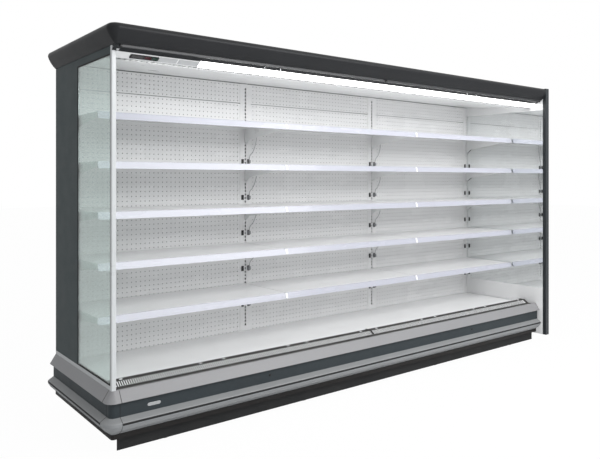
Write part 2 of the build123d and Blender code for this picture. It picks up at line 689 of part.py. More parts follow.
def fan_rotor(x, y, z):
    """Hub with pitched blades, its blind bore running on the motor shaft."""
    back = facing_front(x, y, z)
    hub = extrude(back * Circle(FAN_HUB_RADIUS), FAN_HUB_DEPTH)
    hub = fillet(hub.edges().filter_by(GeomType.CIRCLE).sort_by(Axis.Y)[0], FAN_EDGE_RADIUS)
    tip = FAN_BORE_RADIUS - FAN_TIP_GAP
    root = FAN_HUB_RADIUS - FAN_BLADE_ROOT
    length = tip + CUT_PAST - root
    blades = None
    for i in range(FAN_BLADES):
        blade = Rot(FAN_BLADE_PITCH, 0, 0) * Box(length, FAN_BLADE_THICKNESS, FAN_BLADE_CHORD)
        turn = Rot(0, 360 / FAN_BLADES * i, 0)
        blade = turn * Pos(root + length / 2, -FAN_HUB_DEPTH / 2, 0) * blade
        blades = blade if blades is None else blades + blade
    sweep_room = Pos(0, -FAN_HUB_DEPTH / 2, 0) * Rot(90, 0, 0) * Cylinder(tip, FAN_HUB_DEPTH)
    blades = Pos(x, y, z) * (blades & sweep_room)
    bore_outline = Circle(FAN_SHAFT_RADIUS + FAN_SHAFT_CLEARANCE)
    bore = extrude(back * bore_outline, FAN_SHAFT_REACH + FAN_SHAFT_END_GAP)
    return hub + blades - bore


def evaporator_coil():
    """Finned coil lying behind the fans, between two end plates that also carry the pans."""
    x0 = COIL_END_INSET
    x1 = RUN - COIL_END_INSET
    depth = (COIL_FRONT, COIL_BACK)
    coil = block((x0, x0 + COIL_END_SHEET), depth, (TUB_FLOOR_TOP, TUB_TOP))
    coil += block((x1 - COIL_END_SHEET, x1), depth, (TUB_FLOOR_TOP, TUB_TOP))
    step = (x1 - x0) / (COIL_FINS + 1)
    fin_low = (TUB_FLOOR_TOP + TUB_TOP - COIL_FIN_HEIGHT) / 2
    pieces = []
    for i in range(1, COIL_FINS + 1):
        x = x0 + step * i
        pieces.append(block((x, x + COIL_FIN_SHEET), depth, (fin_low, fin_low + COIL_FIN_HEIGHT)))
    row_step = COIL_FIN_HEIGHT / COIL_TUBE_ROWS
    column_step = (COIL_BACK - COIL_FRONT) / COIL_TUBE_COLUMNS
    for row in range(COIL_TUBE_ROWS):
        for column in range(COIL_TUBE_COLUMNS):
            y = COIL_FRONT + column_step * (column + 0.5)
            z = fin_low + row_step * (row + 0.5)
            tube = Plane.YZ.offset(x0) * Pos(y, z) * Circle(COIL_TUBE_RADIUS)
            pieces.append(extrude(tube, amount=x1 - x0, dir=(1, 0, 0)))
    return coil + pieces


# ---- Back -----------------------------------------------------------------------------------
def upright_places():
    """Middle of each upright with the left and right limits of the room it has."""
    return [(BAY_LENGTH * i, LEFT_INNER, RIGHT_INNER) for i in range(BAY_COUNT + 1)]


def rear_wall():
    return block((LEFT_INNER, RIGHT_INNER), (REAR_WALL_Y, CABINET_BACK), (TUB_TOP, ROOF_BOTTOM))


def back_panels():
    """A lower and an upper sheet in each bay, their edges behind the upright covers."""
    panels = []
    edge = UPRIGHT_CHANNEL_WIDTH / 2
    y = (PANEL_FACE, PANEL_FACE + PANEL_SHEET)
    for i in range(BAY_COUNT):
        x = (BAY_LENGTH * i + edge, BAY_LENGTH * (i + 1) - edge)
        panels.append(block(x, y, (PANEL_BOTTOM, PANEL_SPLIT - PANEL_SPLIT_GAP / 2)))
        panels.append(block(x, y, (PANEL_SPLIT + PANEL_SPLIT_GAP / 2, PANEL_TOP)))
    return panels


def slot_heights():
    return [SLOT_FIRST + SLOT_PITCH * i for i in range(SLOT_COUNT)]


def uprights():
    """Slotted front cover on a channel that stands off the rear wall, with a single slot column."""
    solids = []
    span = (TUB_TOP, ROOF_BOTTOM)
    half = UPRIGHT_CHANNEL_WIDTH / 2
    for x, low_x, high_x in upright_places():
        left = max(x - UPRIGHT_COVER_WIDTH / 2, low_x)
        right = min(x + UPRIGHT_COVER_WIDTH / 2, high_x)
        web_left = max(x - half, low_x)
        web_right = min(x + half, high_x)
        cover = block((left, right), (COVER_FACE, PANEL_FACE), (TUB_TOP, PANEL_TOP))
        channel = block((web_left, web_right), (PANEL_FACE, REAR_WALL_Y), span)
        channel -= block(
            (web_left + UPRIGHT_COVER_SHEET, web_right - UPRIGHT_COVER_SHEET),
            (PANEL_FACE, REAR_WALL_Y - UPRIGHT_COVER_SHEET),
            (span[0] - CUT_PAST, span[1] + CUT_PAST),
        )
        slot_left = max(x - SLOT_WIDTH / 2, 0)
        slot_right = min(x + SLOT_WIDTH / 2, RUN)
        slots = [
            Pos((slot_left + slot_right) / 2, z) * Rectangle(slot_right - slot_left, SLOT_HEIGHT)
            for z in slot_heights()
        ]
        slots_outline = facing_front(0, PANEL_FACE, 0) * (Sketch() + slots)
        cover -= extrude(slots_outline, UPRIGHT_COVER_SHEET * 2, both=True)
        solids.append(cover + channel)
    return solids


def socket_places():
    """(x, z) of each lamp socket: two beside each middle upright, one beside each end upright."""
    places = []
    for i in range(BAY_COUNT + 1):
        for side in (-1, 1):
            x = BAY_LENGTH * i + side * SOCKET_OFFSET
            if 0 < x < RUN:
                places += [(x, z) for z in SOCKET_HEIGHTS]
    return places


def upright_sockets():
    sockets = []
    for x, z in socket_places():
        body = block(
            (x - SOCKET_WIDTH / 2, x + SOCKET_WIDTH / 2),
            (COVER_FACE - SOCKET_DEPTH, COVER_FACE),
            (z - SOCKET_TALL / 2, z + SOCKET_TALL / 2),
        )
        sockets.append(fillet(body.edges().filter_by(Axis.Y), SOCKET_CORNER_RADIUS))
    return sockets


# ---- Shelves --------------------------------------------------------------------------------
def bay_ends(i):
    """Left and right face of bay i's tray, between its two brackets."""
    edge = BRACKET_INSET + BRACKET_SHEET
    return (BAY_LENGTH * i + edge, BAY_LENGTH * (i + 1) - edge)


def shelf_level(top):
    """The trays of one level: sheet with a deep front rim and shallow side and back rims."""
    trays = []
    for i in range(BAY_COUNT):
        left, right = bay_ends(i)
        tray = block((left, right), (0, TRAY_DEPTH), (top - TRAY_SHEET, top))
        tray += block((left, right), (0, TRAY_SHEET), (top - TRAY_SKIRT, top))
        low = top - TRAY_SIDE_SKIRT
        tray += block((left, right), (TRAY_DEPTH - TRAY_SHEET, TRAY_DEPTH), (low, top))
        tray += block((left, left + TRAY_SHEET), (0, TRAY_DEPTH), (low, top))
        tray += block((right - TRAY_SHEET, right), (0, TRAY_DEPTH), (low, top))
        trays.append(tray)
    return trays


def hook_slots(top):
    """The two upright slots that a bracket of the shelf at this height hooks into."""
    root = top - BRACKET_ROOT_DEPTH
    inside = [z for z in slot_heights() if root + HOOK_HEIGHT < z < top - HOOK_HEIGHT]
    return [inside[0], inside[-1]]


def shelf_bracket(x, top):
    """Side bracket: shallow at the nose, deep at the root, with hooks through the upright's slots."""
    front = TRAY_SHEET
    root = COVER_FACE
    low_edge = top - BRACKET_ROOT_DEPTH
    section = outline([
        (front, top - TRAY_SHEET), (front, top - BRACKET_NOSE_DEPTH),
        (root - BRACKET_HEEL, low_edge + BRACKET_HEEL_RISE), (root - BRACKET_FOOT, low_edge),
        (root, low_edge), (root, top - TRAY_SHEET),
    ])
    neck = PANEL_FACE + HOOK_GAP
    tip = PANEL_FACE + HOOK_REACH
    for z in hook_slots(top):
        low = z - HOOK_HEIGHT / 2
        high = z + HOOK_HEIGHT / 2
        section += outline([
            (root - TRAY_SHEET, low), (neck, low), (neck, low - HOOK_DROP),
            (tip, low - HOOK_DROP), (tip, high), (root - TRAY_SHEET, high),
        ])
    return along_x(section, x, x + BRACKET_SHEET)


def shelf_brackets():
    solids = []
    for top in SHELF_HEIGHTS:
        for i in range(BAY_COUNT):
            left, right = bay_ends(i)
            solids.append(shelf_bracket(left - BRACKET_SHEET, top))
            solids.append(shelf_bracket(right, top))
    return solids


def price_rails():
    """Tilted price rail snapped on each tray's front rim."""
    solids = []
    t = PRICE_RAIL_SHEET
    for top in SHELF_HEIGHTS:
        high = top + PRICE_RAIL_LIP
        low = high - PRICE_RAIL_HEIGHT
        foot = -PRICE_RAIL_LIP_DEPTH - PRICE_RAIL_TILT
        section = outline([
            (0, high), (-PRICE_RAIL_LIP_DEPTH, high), (foot, low), (foot + t, low),
            (-t, high - 2 * t), (-t, top - TRAY_SKIRT), (0, top - TRAY_SKIRT),
        ])
        solids += [along_x(section, *bay_ends(i)) for i in range(BAY_COUNT)]
    return solids


# Each lead leaves its plug upwards and bows out to the side, up to the tray above. The points are
# (side, forward of the socket, height over its middle), then (side, forward, share of the rise).
LEAD_LOW = [(0.0, 9.0, 13.0), (0.0, 9.0, 31.0), (7.0, 12.0, 50.0), (25.0, 17.0, 66.0)]
LEAD_MIDDLE = [(46.0, 21.0, 0.35), (57.0, 19.0, 0.7)]
LEAD_END = (57.0, 19.0)


def lead_route(x, socket, top):
    """The lead's points from the top of its plug to the underside of the tray."""
    face = COVER_FACE - SOCKET_DEPTH
    under = top - TRAY_SHEET
    route = [(x + side, face - ahead, socket + z) for side, ahead, z in LEAD_LOW]
    rise = under - route[-1][2]
    for side, ahead, share in LEAD_MIDDLE:
        route.append((x + side, face - ahead, under - rise * (1 - share)))
    route.append((x + LEAD_END[0], face - LEAD_END[1], under))
    return [Vector(*point) for point in route]


def arc_radii(route):
    """The largest radius that the two runs at each corner allow."""
    radii = []
    for before, here, after in zip(route, route[1:], route[2:]):
        arm_in = here - before
        arm_out = after - here
        turn = math.radians(arm_in.get_angle(arm_out))
        radii.append(LEAD_BEND_SHARE * min(arm_in.length, arm_out.length) / math.tan(turn / 2))
    return radii


def lead_places():
    """(x of the socket, height of the socket, height of the tray it lights)."""
    xs = [BAY_LENGTH * i + SOCKET_OFFSET for i in range(1, BAY_COUNT)]
    return [(x, z, top) for x in xs for z, top in zip(SOCKET_HEIGHTS, SHELF_HEIGHTS)]


def shelf_leads():
    """Short leads from the lamp sockets up to the trays, each with its plug."""
    solids = []
    for x, socket, top in lead_places():
        face = COVER_FACE - SOCKET_DEPTH
        plug = block(
            (x - PLUG_WIDTH / 2, x + PLUG_WIDTH / 2),
            (face - PLUG_DEPTH, face),
            (socket - PLUG_TALL / 2, socket + PLUG_TALL / 2),
        )
        route = lead_route(x, socket, top)
        radii = arc_radii(route)
        path = FilletPolyline(*route, radius=radii)
        start = Plane(origin=path @ 0, z_dir=path % 0)
        tube = sweep(start * Circle(LEAD_DIAMETER / 2), path=path)
        solids += [plug, tube]
        print(f"lead {path.length:.0f} mm, radii {[round(r) for r in radii]}, "
              f"volume ratio {tube.volume / (math.pi * LEAD_DIAMETER ** 2 / 4 * path.length):.4f}")
    return solids


# ---- Left end -------------------------------------------------------------------------------
def left_end_frame():
    """Dark frame: solid rear panel with an arm over the glazing."""
    x = (LEFT_FACE, LEFT_INNER)
    rear = block(x, (GLASS_BACK, CABINET_BACK), (GLASS_PROFILE_TOP, ROOF_NOSE_BOTTOM))
    arm = block(x, (POST_BACK, GLASS_BACK), (GLASS_TOP, ROOF_NOSE_BOTTOM))
    return rear + arm


def pane_places():
    """Outer face of each of the two panes."""
    margin = (LEFT_WALL - 2 * PANE_THICKNESS - PANE_SPACE) / 2
    first = LEFT_FACE + margin
    return [first, first + PANE_THICKNESS + PANE_SPACE]


def end_glass():
    low = GLASS_PROFILE_TOP - GLASS_GROOVE_DEPTH
    y = (POST_BACK, GLASS_BACK)
    return [block((x, x + PANE_THICKNESS), y, (low, GLASS_TOP)) for x in pane_places()]


def glass_profile():
    """Bottom glazing profile, grooved for the panes and plain under the solid rear panel."""
    bar = block((LEFT_FACE, LEFT_INNER), (POST_BACK, CABINET_BACK), (RAIL_TOP, GLASS_PROFILE_TOP))
    first, last = pane_places()
    groove = block(
        (first, last + PANE_THICKNESS), (POST_BACK, GLASS_BACK),
        (GLASS_PROFILE_TOP - GLASS_GROOVE_DEPTH, GLASS_PROFILE_TOP),
    )
    return bar - groove


def front_post():
    post = block((LEFT_FACE, POST_RIGHT), (POST_FRONT, POST_BACK), (RAIL_TOP, ROOF_NOSE_BOTTOM))
    edges = post.edges().filter_by(Axis.Z).group_by(Axis.Y)[0]
    return fillet(edges, POST_CORNER_RADIUS)


# ---- Right end ------------------------------------------------------------------------------
def right_panel_span():
    return (RIGHT_PANEL_BOTTOM, CABINET_TOP)


def right_end_panel():
    y = (CANOPY_FRONT + TRIM_DEPTH, CABINET_BACK)
    return block((RIGHT_CORE, RIGHT_OUTER), y, right_panel_span())


def right_end_trim():
    y = (CANOPY_FRONT, CANOPY_FRONT + TRIM_DEPTH)
    trim = block((RIGHT_INNER, RIGHT_OUTER), y, right_panel_span())
    return fillet(trim.edges().filter_by(Axis.Z).group_by(Axis.Y)[0], TRIM_EDGE_RADIUS)


def mirror_window():
    """Room of the mirror in the liner, from the front trim back to the panels."""
    return (CANOPY_FRONT + TRIM_DEPTH, PANEL_FACE), (MIRROR_BOTTOM, MIRROR_TOP)


def right_end_liner():
    y = (CANOPY_FRONT + TRIM_DEPTH, CABINET_BACK)
    sheet = block((RIGHT_INNER, RIGHT_CORE), y, right_panel_span())
    return sheet - block((RIGHT_INNER, RIGHT_CORE), *mirror_window())


def right_mirror():
    return block((RIGHT_INNER, RIGHT_CORE), *mirror_window())


# ---- Canopy ---------------------------------------------------------------------------------
def roof_panel():
    """Foamed roof: thick over the cabinet, thinner where it reaches forward into the canopy nose."""
    reach = ROOF_NOSE_REACH
    front = FACE_Y - reach
    nose = block((FACE_X - reach, RIGHT_INNER), (front, CABINET_BACK), (ROOF_NOSE_BOTTOM, ROOF_TOP))
    corner = nose.edges().filter_by(Axis.Z).sort_by_distance((FACE_X, FACE_Y, ROOF_TOP))[0]
    nose = fillet(corner, CANOPY_CORNER_RADIUS + reach)
    step = front + ROOF_STEP_SETBACK
    deep = block((LEFT_INNER, RIGHT_INNER), (step, CABINET_BACK), (ROOF_BOTTOM, ROOF_TOP))
    return nose + deep


def canopy_section():
    """Bull-nosed skin: top return, round nose and a gently curved face back to its lower edge."""
    centre = CANOPY_REACH - CANOPY_NOSE_RADIUS
    middle = CABINET_TOP - CANOPY_NOSE_RADIUS
    turn = math.radians(CANOPY_NOSE_END)
    edges = []
    ends = []
    for inwards in (0, CANOPY_WALL):
        radius = CANOPY_NOSE_RADIUS - inwards
        back = (-CANOPY_TOP_RETURN, CABINET_TOP - inwards)
        crown = (centre, CABINET_TOP - inwards)
        tip = (centre + radius, middle)
        chin = (centre + radius * math.cos(turn), middle - radius * math.sin(turn))
        foot = (-inwards, CANOPY_FACE_BOTTOM)
        share = CANOPY_FACE_BULGE / math.dist(chin, foot)
        fullest = (
            (chin[0] + foot[0]) / 2 + share * (chin[1] - foot[1]),
            (chin[1] + foot[1]) / 2 - share * (chin[0] - foot[0]),
        )
        edges += [Line(back, crown), ThreePointArc(crown, tip, chin), ThreePointArc(chin, fullest, foot)]
        ends.append((back, foot))
    (outer_back, outer_foot), (inner_back, inner_foot) = ends
    edges += [Line(outer_back, inner_back), Line(outer_foot, inner_foot)]
    return make_face(edges)


def canopy_seams():
    """Where the corner piece ends along the front and along the side."""
    leg = CANOPY_CORNER_RADIUS + CANOPY_CORNER_LEG
    return FACE_X + leg, FACE_Y + leg


def canopy_lip():
    """Dark lip behind the blind slot, its web up to the roof and the rollers' end brackets."""
    t = LIP_SHEET
    high = CANOPY_FACE_BOTTOM
    low = LIP_BACK_HEIGHT
    web = LIP_BACK + LIP_WEB_OFFSET
    plate = outline([
        (LIP_FRONT, high), (LIP_BACK, low), (web + t, low), (web + t, low + t),
        (LIP_BACK, low + t), (LIP_FRONT, high + t),
    ])
    lip = along_x(plate, FACE_X + CANOPY_WALL, RIGHT_INNER)
    post_room = block((LEFT_FACE, POST_RIGHT), (POST_FRONT, POST_BACK), (RAIL_TOP, CABINET_TOP))
    lip -= post_room
    lip += block((POST_RIGHT + POST_GAP, RIGHT_INNER), (web, web + t), (low, ROOF_NOSE_BOTTOM))
    ear_y = (ROLL_Y - ROLL_BRACKET_MARGIN, web)
    ear_z = (ROLL_Z - ROLL_BRACKET_DROP, ROOF_NOSE_BOTTOM)
    for i in range(BLIND_COUNT):
        for side in roll_bracket_faces(i):
            ear = block((side, side + ROLL_BRACKET_SHEET), ear_y, ear_z)
            hole = Pos(ROLL_Y, ROLL_Z) * Circle(ROLL_PIN_RADIUS + ROLL_PIN_CLEARANCE)
            lip += ear - along_x(hole, side - CUT_PAST, side + ROLL_BRACKET_SHEET + CUT_PAST)
    return lip


def fascia_lines():
    """The strip's corners as (y, z): front edge, back edge and the same two on its inner face."""
    front = (LIP_BACK, LIP_BACK_HEIGHT - FASCIA_DROP)
    back = (FASCIA_BACK, FASCIA_BACK_HEIGHT)
    angle = math.atan2(front[1] - back[1], back[0] - front[0])
    rise = FASCIA_SHEET / math.cos(angle)
    inner_back = (FASCIA_BACK, FASCIA_BACK_HEIGHT + rise)
    inner_front = (LIP_BACK + FASCIA_SHEET, front[1] + rise - FASCIA_SHEET * math.tan(angle))
    return front, back, inner_front, inner_back, angle


def control_fascia():
    """White strip at the left that carries the controls, with its flange down the whole canopy."""
    front, back, inner_front, inner_back, _ = fascia_lines()
    left = POST_RIGHT + POST_GAP
    z = (FASCIA_BACK_HEIGHT, ROOF_NOSE_BOTTOM)
    flange = block((left, RIGHT_INNER), (FASCIA_BACK, HONEYCOMB_Y), z)
    plate = along_x(outline([front, back, inner_back, inner_front]), left, FASCIA_LENGTH)
    opening = fascia_plane() * Pos(control_middle(), 0) * control_body_outline(CONTROL_BODY_CLEARANCE)
    plate -= extrude(opening, amount=FASCIA_SHEET * 2, both=True)
    return flange + plate


def lamp_diffuser():
    """Translucent lamp cover that carries the strip on to the right end."""
    front, back, inner_front, inner_back, _ = fascia_lines()
    inside_back = (back[0], inner_back[1] + DIFFUSER_THICKNESS)
    inside_front = (inner_front[0] + DIFFUSER_THICKNESS, LIP_BACK_HEIGHT)
    section = outline([front, back, inside_back, inside_front, (front[0], LIP_BACK_HEIGHT)])
    return along_x(section, FASCIA_LENGTH + DIFFUSER_GAP, RIGHT_INNER)


def honeycomb_outlet():
    """Air discharge grid, one length a bay, filling the gap between fascia flange and ceiling."""
    grids = []
    low = CEILING_FRONT_Z - HONEYCOMB_DROP
    pitch = BAY_LENGTH / HONEYCOMB_CELLS_PER_BAY
    cell = Rectangle(pitch - HONEYCOMB_WALL, HONEYCOMB_DEPTH - 2 * HONEYCOMB_WALL)
    for i in range(BAY_COUNT):
        frame = Rectangle(BAY_LENGTH, HONEYCOMB_DEPTH)
        frame -= [loc * cell for loc in GridLocations(pitch, 1, HONEYCOMB_CELLS_PER_BAY, 1)]
        grid = extrude(frame, HONEYCOMB_HEIGHT)
        grids.append(Pos(BAY_LENGTH * (i + 0.5), HONEYCOMB_Y + HONEYCOMB_DEPTH / 2, low) * grid)
    return grids


def ceiling_liner():
    """White ceiling rising from the discharge to the top of the back panels."""
    t = CEILING_SHEET
    return along_x(outline([
        (CEILING_Y, CEILING_FRONT_Z), (COVER_FACE, CEILING_BACK_Z), (COVER_FACE, CEILING_BACK_Z + t),
        (CEILING_Y + t, CEILING_FRONT_Z + t), (CEILING_Y + t, CEILING_FRONT_Z + HONEYCOMB_HEIGHT),
        (CEILING_Y, CEILING_FRONT_Z + HONEYCOMB_HEIGHT),
    ]), LEFT_INNER, RIGHT_INNER)


# ---- Control unit ---------------------------------------------------------------------------
def fascia_plane():
    """Plane on the strip's outer face, at its middle line, looking out of the strip."""
    front, back, _, _, angle = fascia_lines()
    middle = (0, (front[0] + back[0]) / 2, (front[1] + back[1]) / 2)
    return Plane(origin=middle, x_dir=(1, 0, 0), z_dir=(0, -math.sin(angle), -math.cos(angle)))


def control_middle():
    return CONTROL_X + CONTROL_LENGTH / 2


def control_body_outline(clearance):
    margin = 2 * CONTROL_BODY_MARGIN - 2 * clearance
    return Rectangle(CONTROL_LENGTH - margin, CONTROL_WIDTH - margin)


def switch_middles():
    """X of the two rocker wells, counted from the unit's left edge."""
    first = CONTROL_X + DISPLAY_LENGTH + DISPLAY_GAP + SWITCH_WELL_LENGTH / 2
    return [first, first + SWITCH_PITCH]


def display_controller():
    """Black control unit: faceplate, body behind the strip, display recess and two rocker wells."""
    plane = fascia_plane()
    plate = RectangleRounded(CONTROL_LENGTH, CONTROL_WIDTH, CONTROL_CORNER_RADIUS)
    unit = extrude(plane * Pos(control_middle(), 0) * plate, CONTROL_PLATE)
    unit += extrude(plane * Pos(control_middle(), 0) * control_body_outline(0), -CONTROL_BODY_DEPTH)
    window = RectangleRounded(WINDOW_LENGTH, WINDOW_WIDTH, WINDOW_CORNER_RADIUS)
    window = Pos(CONTROL_X + WINDOW_INSET + WINDOW_LENGTH / 2, 0) * window
    unit -= extrude(plane.offset(CONTROL_PLATE - WINDOW_RECESS) * window, WINDOW_RECESS + CUT_PAST)
    well = Rectangle(SWITCH_WELL_LENGTH, SWITCH_WELL_WIDTH)
    pin_room = rocker_pin_reach() + ROCKER_PIN_END_GAP
    top = plane.offset(CONTROL_PLATE)
    for x in switch_middles():
        unit -= extrude(top * Pos(x, 0) * well, -SWITCH_WELL_DEPTH)
        pin = Plane(origin=plane.from_local_coords((x, 0, -ROCKER_PIVOT_DEPTH)), z_dir=plane.y_dir)
        hole = Circle(ROCKER_PIN_RADIUS + ROCKER_PIN_CLEARANCE)
        unit -= extrude(pin * hole, pin_room, both=True)
    return unit


def rocker_pin_reach():
    """How far a rocker's pins reach to each side of its middle."""
    return ROCKER_WIDTH / 2 + ROCKER_PIN_LENGTH


def rocker(x):
    """Rocker with two raised ends, resting tilted, on two short pins."""
    plane = fascia_plane()
    half = ROCKER_LENGTH / 2
    end_top = ROCKER_PIVOT_DEPTH + ROCKER_END_RISE
    middle_top = ROCKER_PIVOT_DEPTH + ROCKER_MIDDLE_RISE
    foot = half - ROCKER_DRAFT
    shape = outline([
        (-half, end_top), (0, middle_top), (half, end_top),
        (foot, -ROCKER_PIVOT_DEPTH), (-foot, -ROCKER_PIVOT_DEPTH),
    ])
    pivot = plane.from_local_coords((x, 0, -ROCKER_PIVOT_DEPTH))
    side = Plane(origin=pivot, x_dir=plane.x_dir, z_dir=-plane.y_dir)
    tilted = side * Rot(0, 0, ROCKER_TILT)
    body = extrude(tilted * shape, ROCKER_WIDTH / 2, both=True)
    pins = extrude(side * Circle(ROCKER_PIN_RADIUS), rocker_pin_reach(), both=True)
    return body + pins


# ---- Night blinds ---------------------------------------------------------------------------
def blind_ends(i):
    """Left and right end of blind i's bar."""
    left = BLIND_SPAN * i + BLIND_LEFT_GAP if i else POST_RIGHT + BLIND_POST_GAP
    return left, BLIND_SPAN * (i + 1) - BLIND_RIGHT_GAP


def roll_bracket_faces(i):
    """Left face of each of the two end brackets of blind i's roller."""
    left, right = blind_ends(i)
    return left, right - ROLL_BRACKET_SHEET


def blind_roller(i):
    """Roller tube with its wound fabric and an end pin at each bracket."""
    left, right = blind_ends(i)
    tube_left = left + ROLL_BRACKET_SHEET + ROLL_END_GAP
    tube_right = right - ROLL_BRACKET_SHEET - ROLL_END_GAP
    centre = Pos(ROLL_Y, ROLL_Z)
    roll = along_x(centre * Circle(ROLL_RADIUS), tube_left, tube_right)
    pin_left = left - ROLL_PIN_LENGTH + ROLL_BRACKET_SHEET
    pin_right = right + ROLL_PIN_LENGTH - ROLL_BRACKET_SHEET
    return roll + along_x(centre * Circle(ROLL_PIN_RADIUS), pin_left, pin_right)


def blind_fabric(i):
    """The fabric between the roller and the bar, straight down through the slot."""
    left, right = blind_ends(i)
    side = ROLL_BRACKET_SHEET + ROLL_END_GAP + FABRIC_SIDE_INSET
    back = ROLL_Y - ROLL_RADIUS - FABRIC_ROLL_GAP
    return block((left + side, right - side), (back - FABRIC_THICKNESS, back), (BAR_TOP, ROLL_Z))


def bow_ends(i):
    """X of the bow's two legs."""
    left, right = blind_ends(i)
    middle = (left + right) / 2
    return middle - BOW_WIDTH / 2 + BOW_WIRE_RADIUS, middle + BOW_WIDTH / 2 - BOW_WIRE_RADIUS


def blind_bar(i):
    """Pull bar with two drilled ears for the wire bow."""
    left, right = blind_ends(i)
    y = (BLIND_Y - BAR_DEPTH / 2, BLIND_Y + BAR_DEPTH / 2)
    bar = block((left, right), y, (BAR_BOTTOM, BAR_TOP))
    bar = fillet(bar.edges().filter_by(Axis.X), BAR_EDGE_RADIUS)
    leg_left, leg_right = bow_ends(i)
    gap = BOW_WIRE_RADIUS + BOW_SIDE_CLEARANCE
    ear_y = (BLIND_Y - EAR_DEPTH / 2, BLIND_Y + EAR_DEPTH / 2)
    hole = Pos(BLIND_Y, BOW_Z) * Circle(BOW_WIRE_RADIUS + BOW_PIN_CLEARANCE)
    for x0 in (leg_left + gap, leg_right - gap - EAR_WIDTH):
        ear = block((x0, x0 + EAR_WIDTH), ear_y, (BAR_BOTTOM - EAR_DROP, BAR_BOTTOM))
        bar += ear - along_x(hole, x0 - CUT_PAST, x0 + EAR_WIDTH + CUT_PAST)
    return bar


def wire_bow(i):
    """Bent wire bow whose two ends turn inwards into the bar's ears."""
    left, right = bow_ends(i)
    low = BOW_Z - BOW_DROP + BOW_WIRE_RADIUS
    turn_in = BOW_WIRE_RADIUS + EAR_WIDTH
    route = [
        (left + turn_in, BLIND_Y, BOW_Z), (left, BLIND_Y, BOW_Z), (left, BLIND_Y, low),
        (right, BLIND_Y, low), (right, BLIND_Y, BOW_Z), (right - turn_in, BLIND_Y, BOW_Z),
    ]
    bend = BOW_WIRE_RADIUS + BOW_BEND_MARGIN
    path = FilletPolyline(*route, radius=[bend, BOW_CORNER_RADIUS, BOW_CORNER_RADIUS, bend])
    return sweep(Plane(origin=path @ 0, z_dir=path % 0) * Circle(BOW_WIRE_RADIUS), path=path)


# ---- Write the nodes ------------------------------------------------------------------------
save("base_frame", base_frame())
save("levelling_feet", *levelling_feet())
save("kick_plate", kick_plate())
save("tub", *tub())
save("drain_outlet", drain_outlet())

save("rail_front", front_piece(rail_section()))
save("rail_side", side_piece(rail_section()))
save("rail_corner", corner_piece(rail_section()))
save("apron", front_piece(apron_section()), side_piece(apron_section()), corner_piece(apron_section()))
save("bumper_front", front_piece(bumper_section(True)))
save("bumper_side", side_piece(bumper_section(True)))
save("bumper_corner", corner_piece(bumper_section(False)))

save("deck_pans", *deck_pans())
save("return_grille", return_grille())
save("fan_plate", fan_plate())
save("fan_motors", *fan_motors())
save("evaporator_coil", evaporator_coil())
for index, fan_place in enumerate(fan_places(), start=1):
    save(f"fan_rotor_{index}", fan_rotor(*fan_place))

save("rear_wall", rear_wall())
save("back_panels", *back_panels())
save("uprights", *uprights())
save("upright_sockets", *upright_sockets())
for index, shelf_top in enumerate(SHELF_HEIGHTS, start=1):
    save(f"shelf_trays_{index}", *shelf_level(shelf_top))
save("shelf_brackets", *shelf_brackets())
save("price_rails", *price_rails())
save("shelf_leads", *shelf_leads())

save("left_end_frame", left_end_frame())
save("end_glass", *end_glass())
save("glass_profile", glass_profile())
save("front_post", front_post())
save("right_end_panel", right_end_panel())
save("right_end_trim", right_end_trim())
save("right_end_liner", right_end_liner())
save("right_mirror", right_mirror())

canopy_seam_x, canopy_seam_y = canopy_seams()
save("roof_panel", roof_panel())
save("canopy_front", front_run(canopy_section(), canopy_seam_x, RIGHT_INNER, FACE_Y))
save("canopy_side", side_run(canopy_section(), canopy_seam_y, CABINET_BACK, FACE_X))
save("canopy_corner", corner_run(
    canopy_section(), FACE_X, FACE_Y, CANOPY_CORNER_RADIUS, canopy_seam_x, canopy_seam_y
))
save("canopy_lip", canopy_lip())
save("control_fascia", control_fascia())
save("lamp_diffuser", lamp_diffuser())
save("honeycomb_outlet", *honeycomb_outlet())
save("ceiling_liner", ceiling_liner())

save("display_controller", display_controller())
for switch_name, switch_x in zip(["power_switch", "light_switch"], switch_middles()):
    save(switch_name, rocker(switch_x))

for index, side_name in enumerate(["left", "right"][:BLIND_COUNT]):
    save(f"blind_roller_{side_name}", blind_roller(index))
    save(f"blind_fabric_{side_name}", blind_fabric(index))
    save(f"blind_bar_{side_name}", blind_bar(index))
    save(f"wire_bow_{side_name}", wire_bow(index))
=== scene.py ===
import bmesh
import bpy
import math
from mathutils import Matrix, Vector


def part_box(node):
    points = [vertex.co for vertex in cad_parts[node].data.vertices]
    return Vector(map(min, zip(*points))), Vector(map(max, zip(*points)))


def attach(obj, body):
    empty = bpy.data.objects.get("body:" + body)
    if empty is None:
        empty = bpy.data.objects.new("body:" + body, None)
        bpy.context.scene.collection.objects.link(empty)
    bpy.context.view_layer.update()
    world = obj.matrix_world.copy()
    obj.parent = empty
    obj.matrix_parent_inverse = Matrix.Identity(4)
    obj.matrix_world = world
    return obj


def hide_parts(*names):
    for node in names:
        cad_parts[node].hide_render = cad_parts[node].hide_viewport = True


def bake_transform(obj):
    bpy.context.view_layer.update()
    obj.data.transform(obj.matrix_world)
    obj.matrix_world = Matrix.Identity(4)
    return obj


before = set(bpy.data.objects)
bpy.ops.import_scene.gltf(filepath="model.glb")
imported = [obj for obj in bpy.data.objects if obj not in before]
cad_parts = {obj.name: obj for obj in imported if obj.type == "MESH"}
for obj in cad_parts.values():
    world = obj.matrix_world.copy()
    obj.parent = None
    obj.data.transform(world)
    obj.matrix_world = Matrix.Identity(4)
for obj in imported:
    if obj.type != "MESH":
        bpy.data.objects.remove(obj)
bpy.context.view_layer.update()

# ---- Where things are measured from ----
# The shelf run of the cabinet: X from its left end, Y back from the shelf fronts, Z from the floor.
# The trays of the lowest level give its place, because they sit between the first two brackets.
BAY = 1.25
BAYS = 3
BRACKET_ROOM = 0.004
RUN = BAY * BAYS
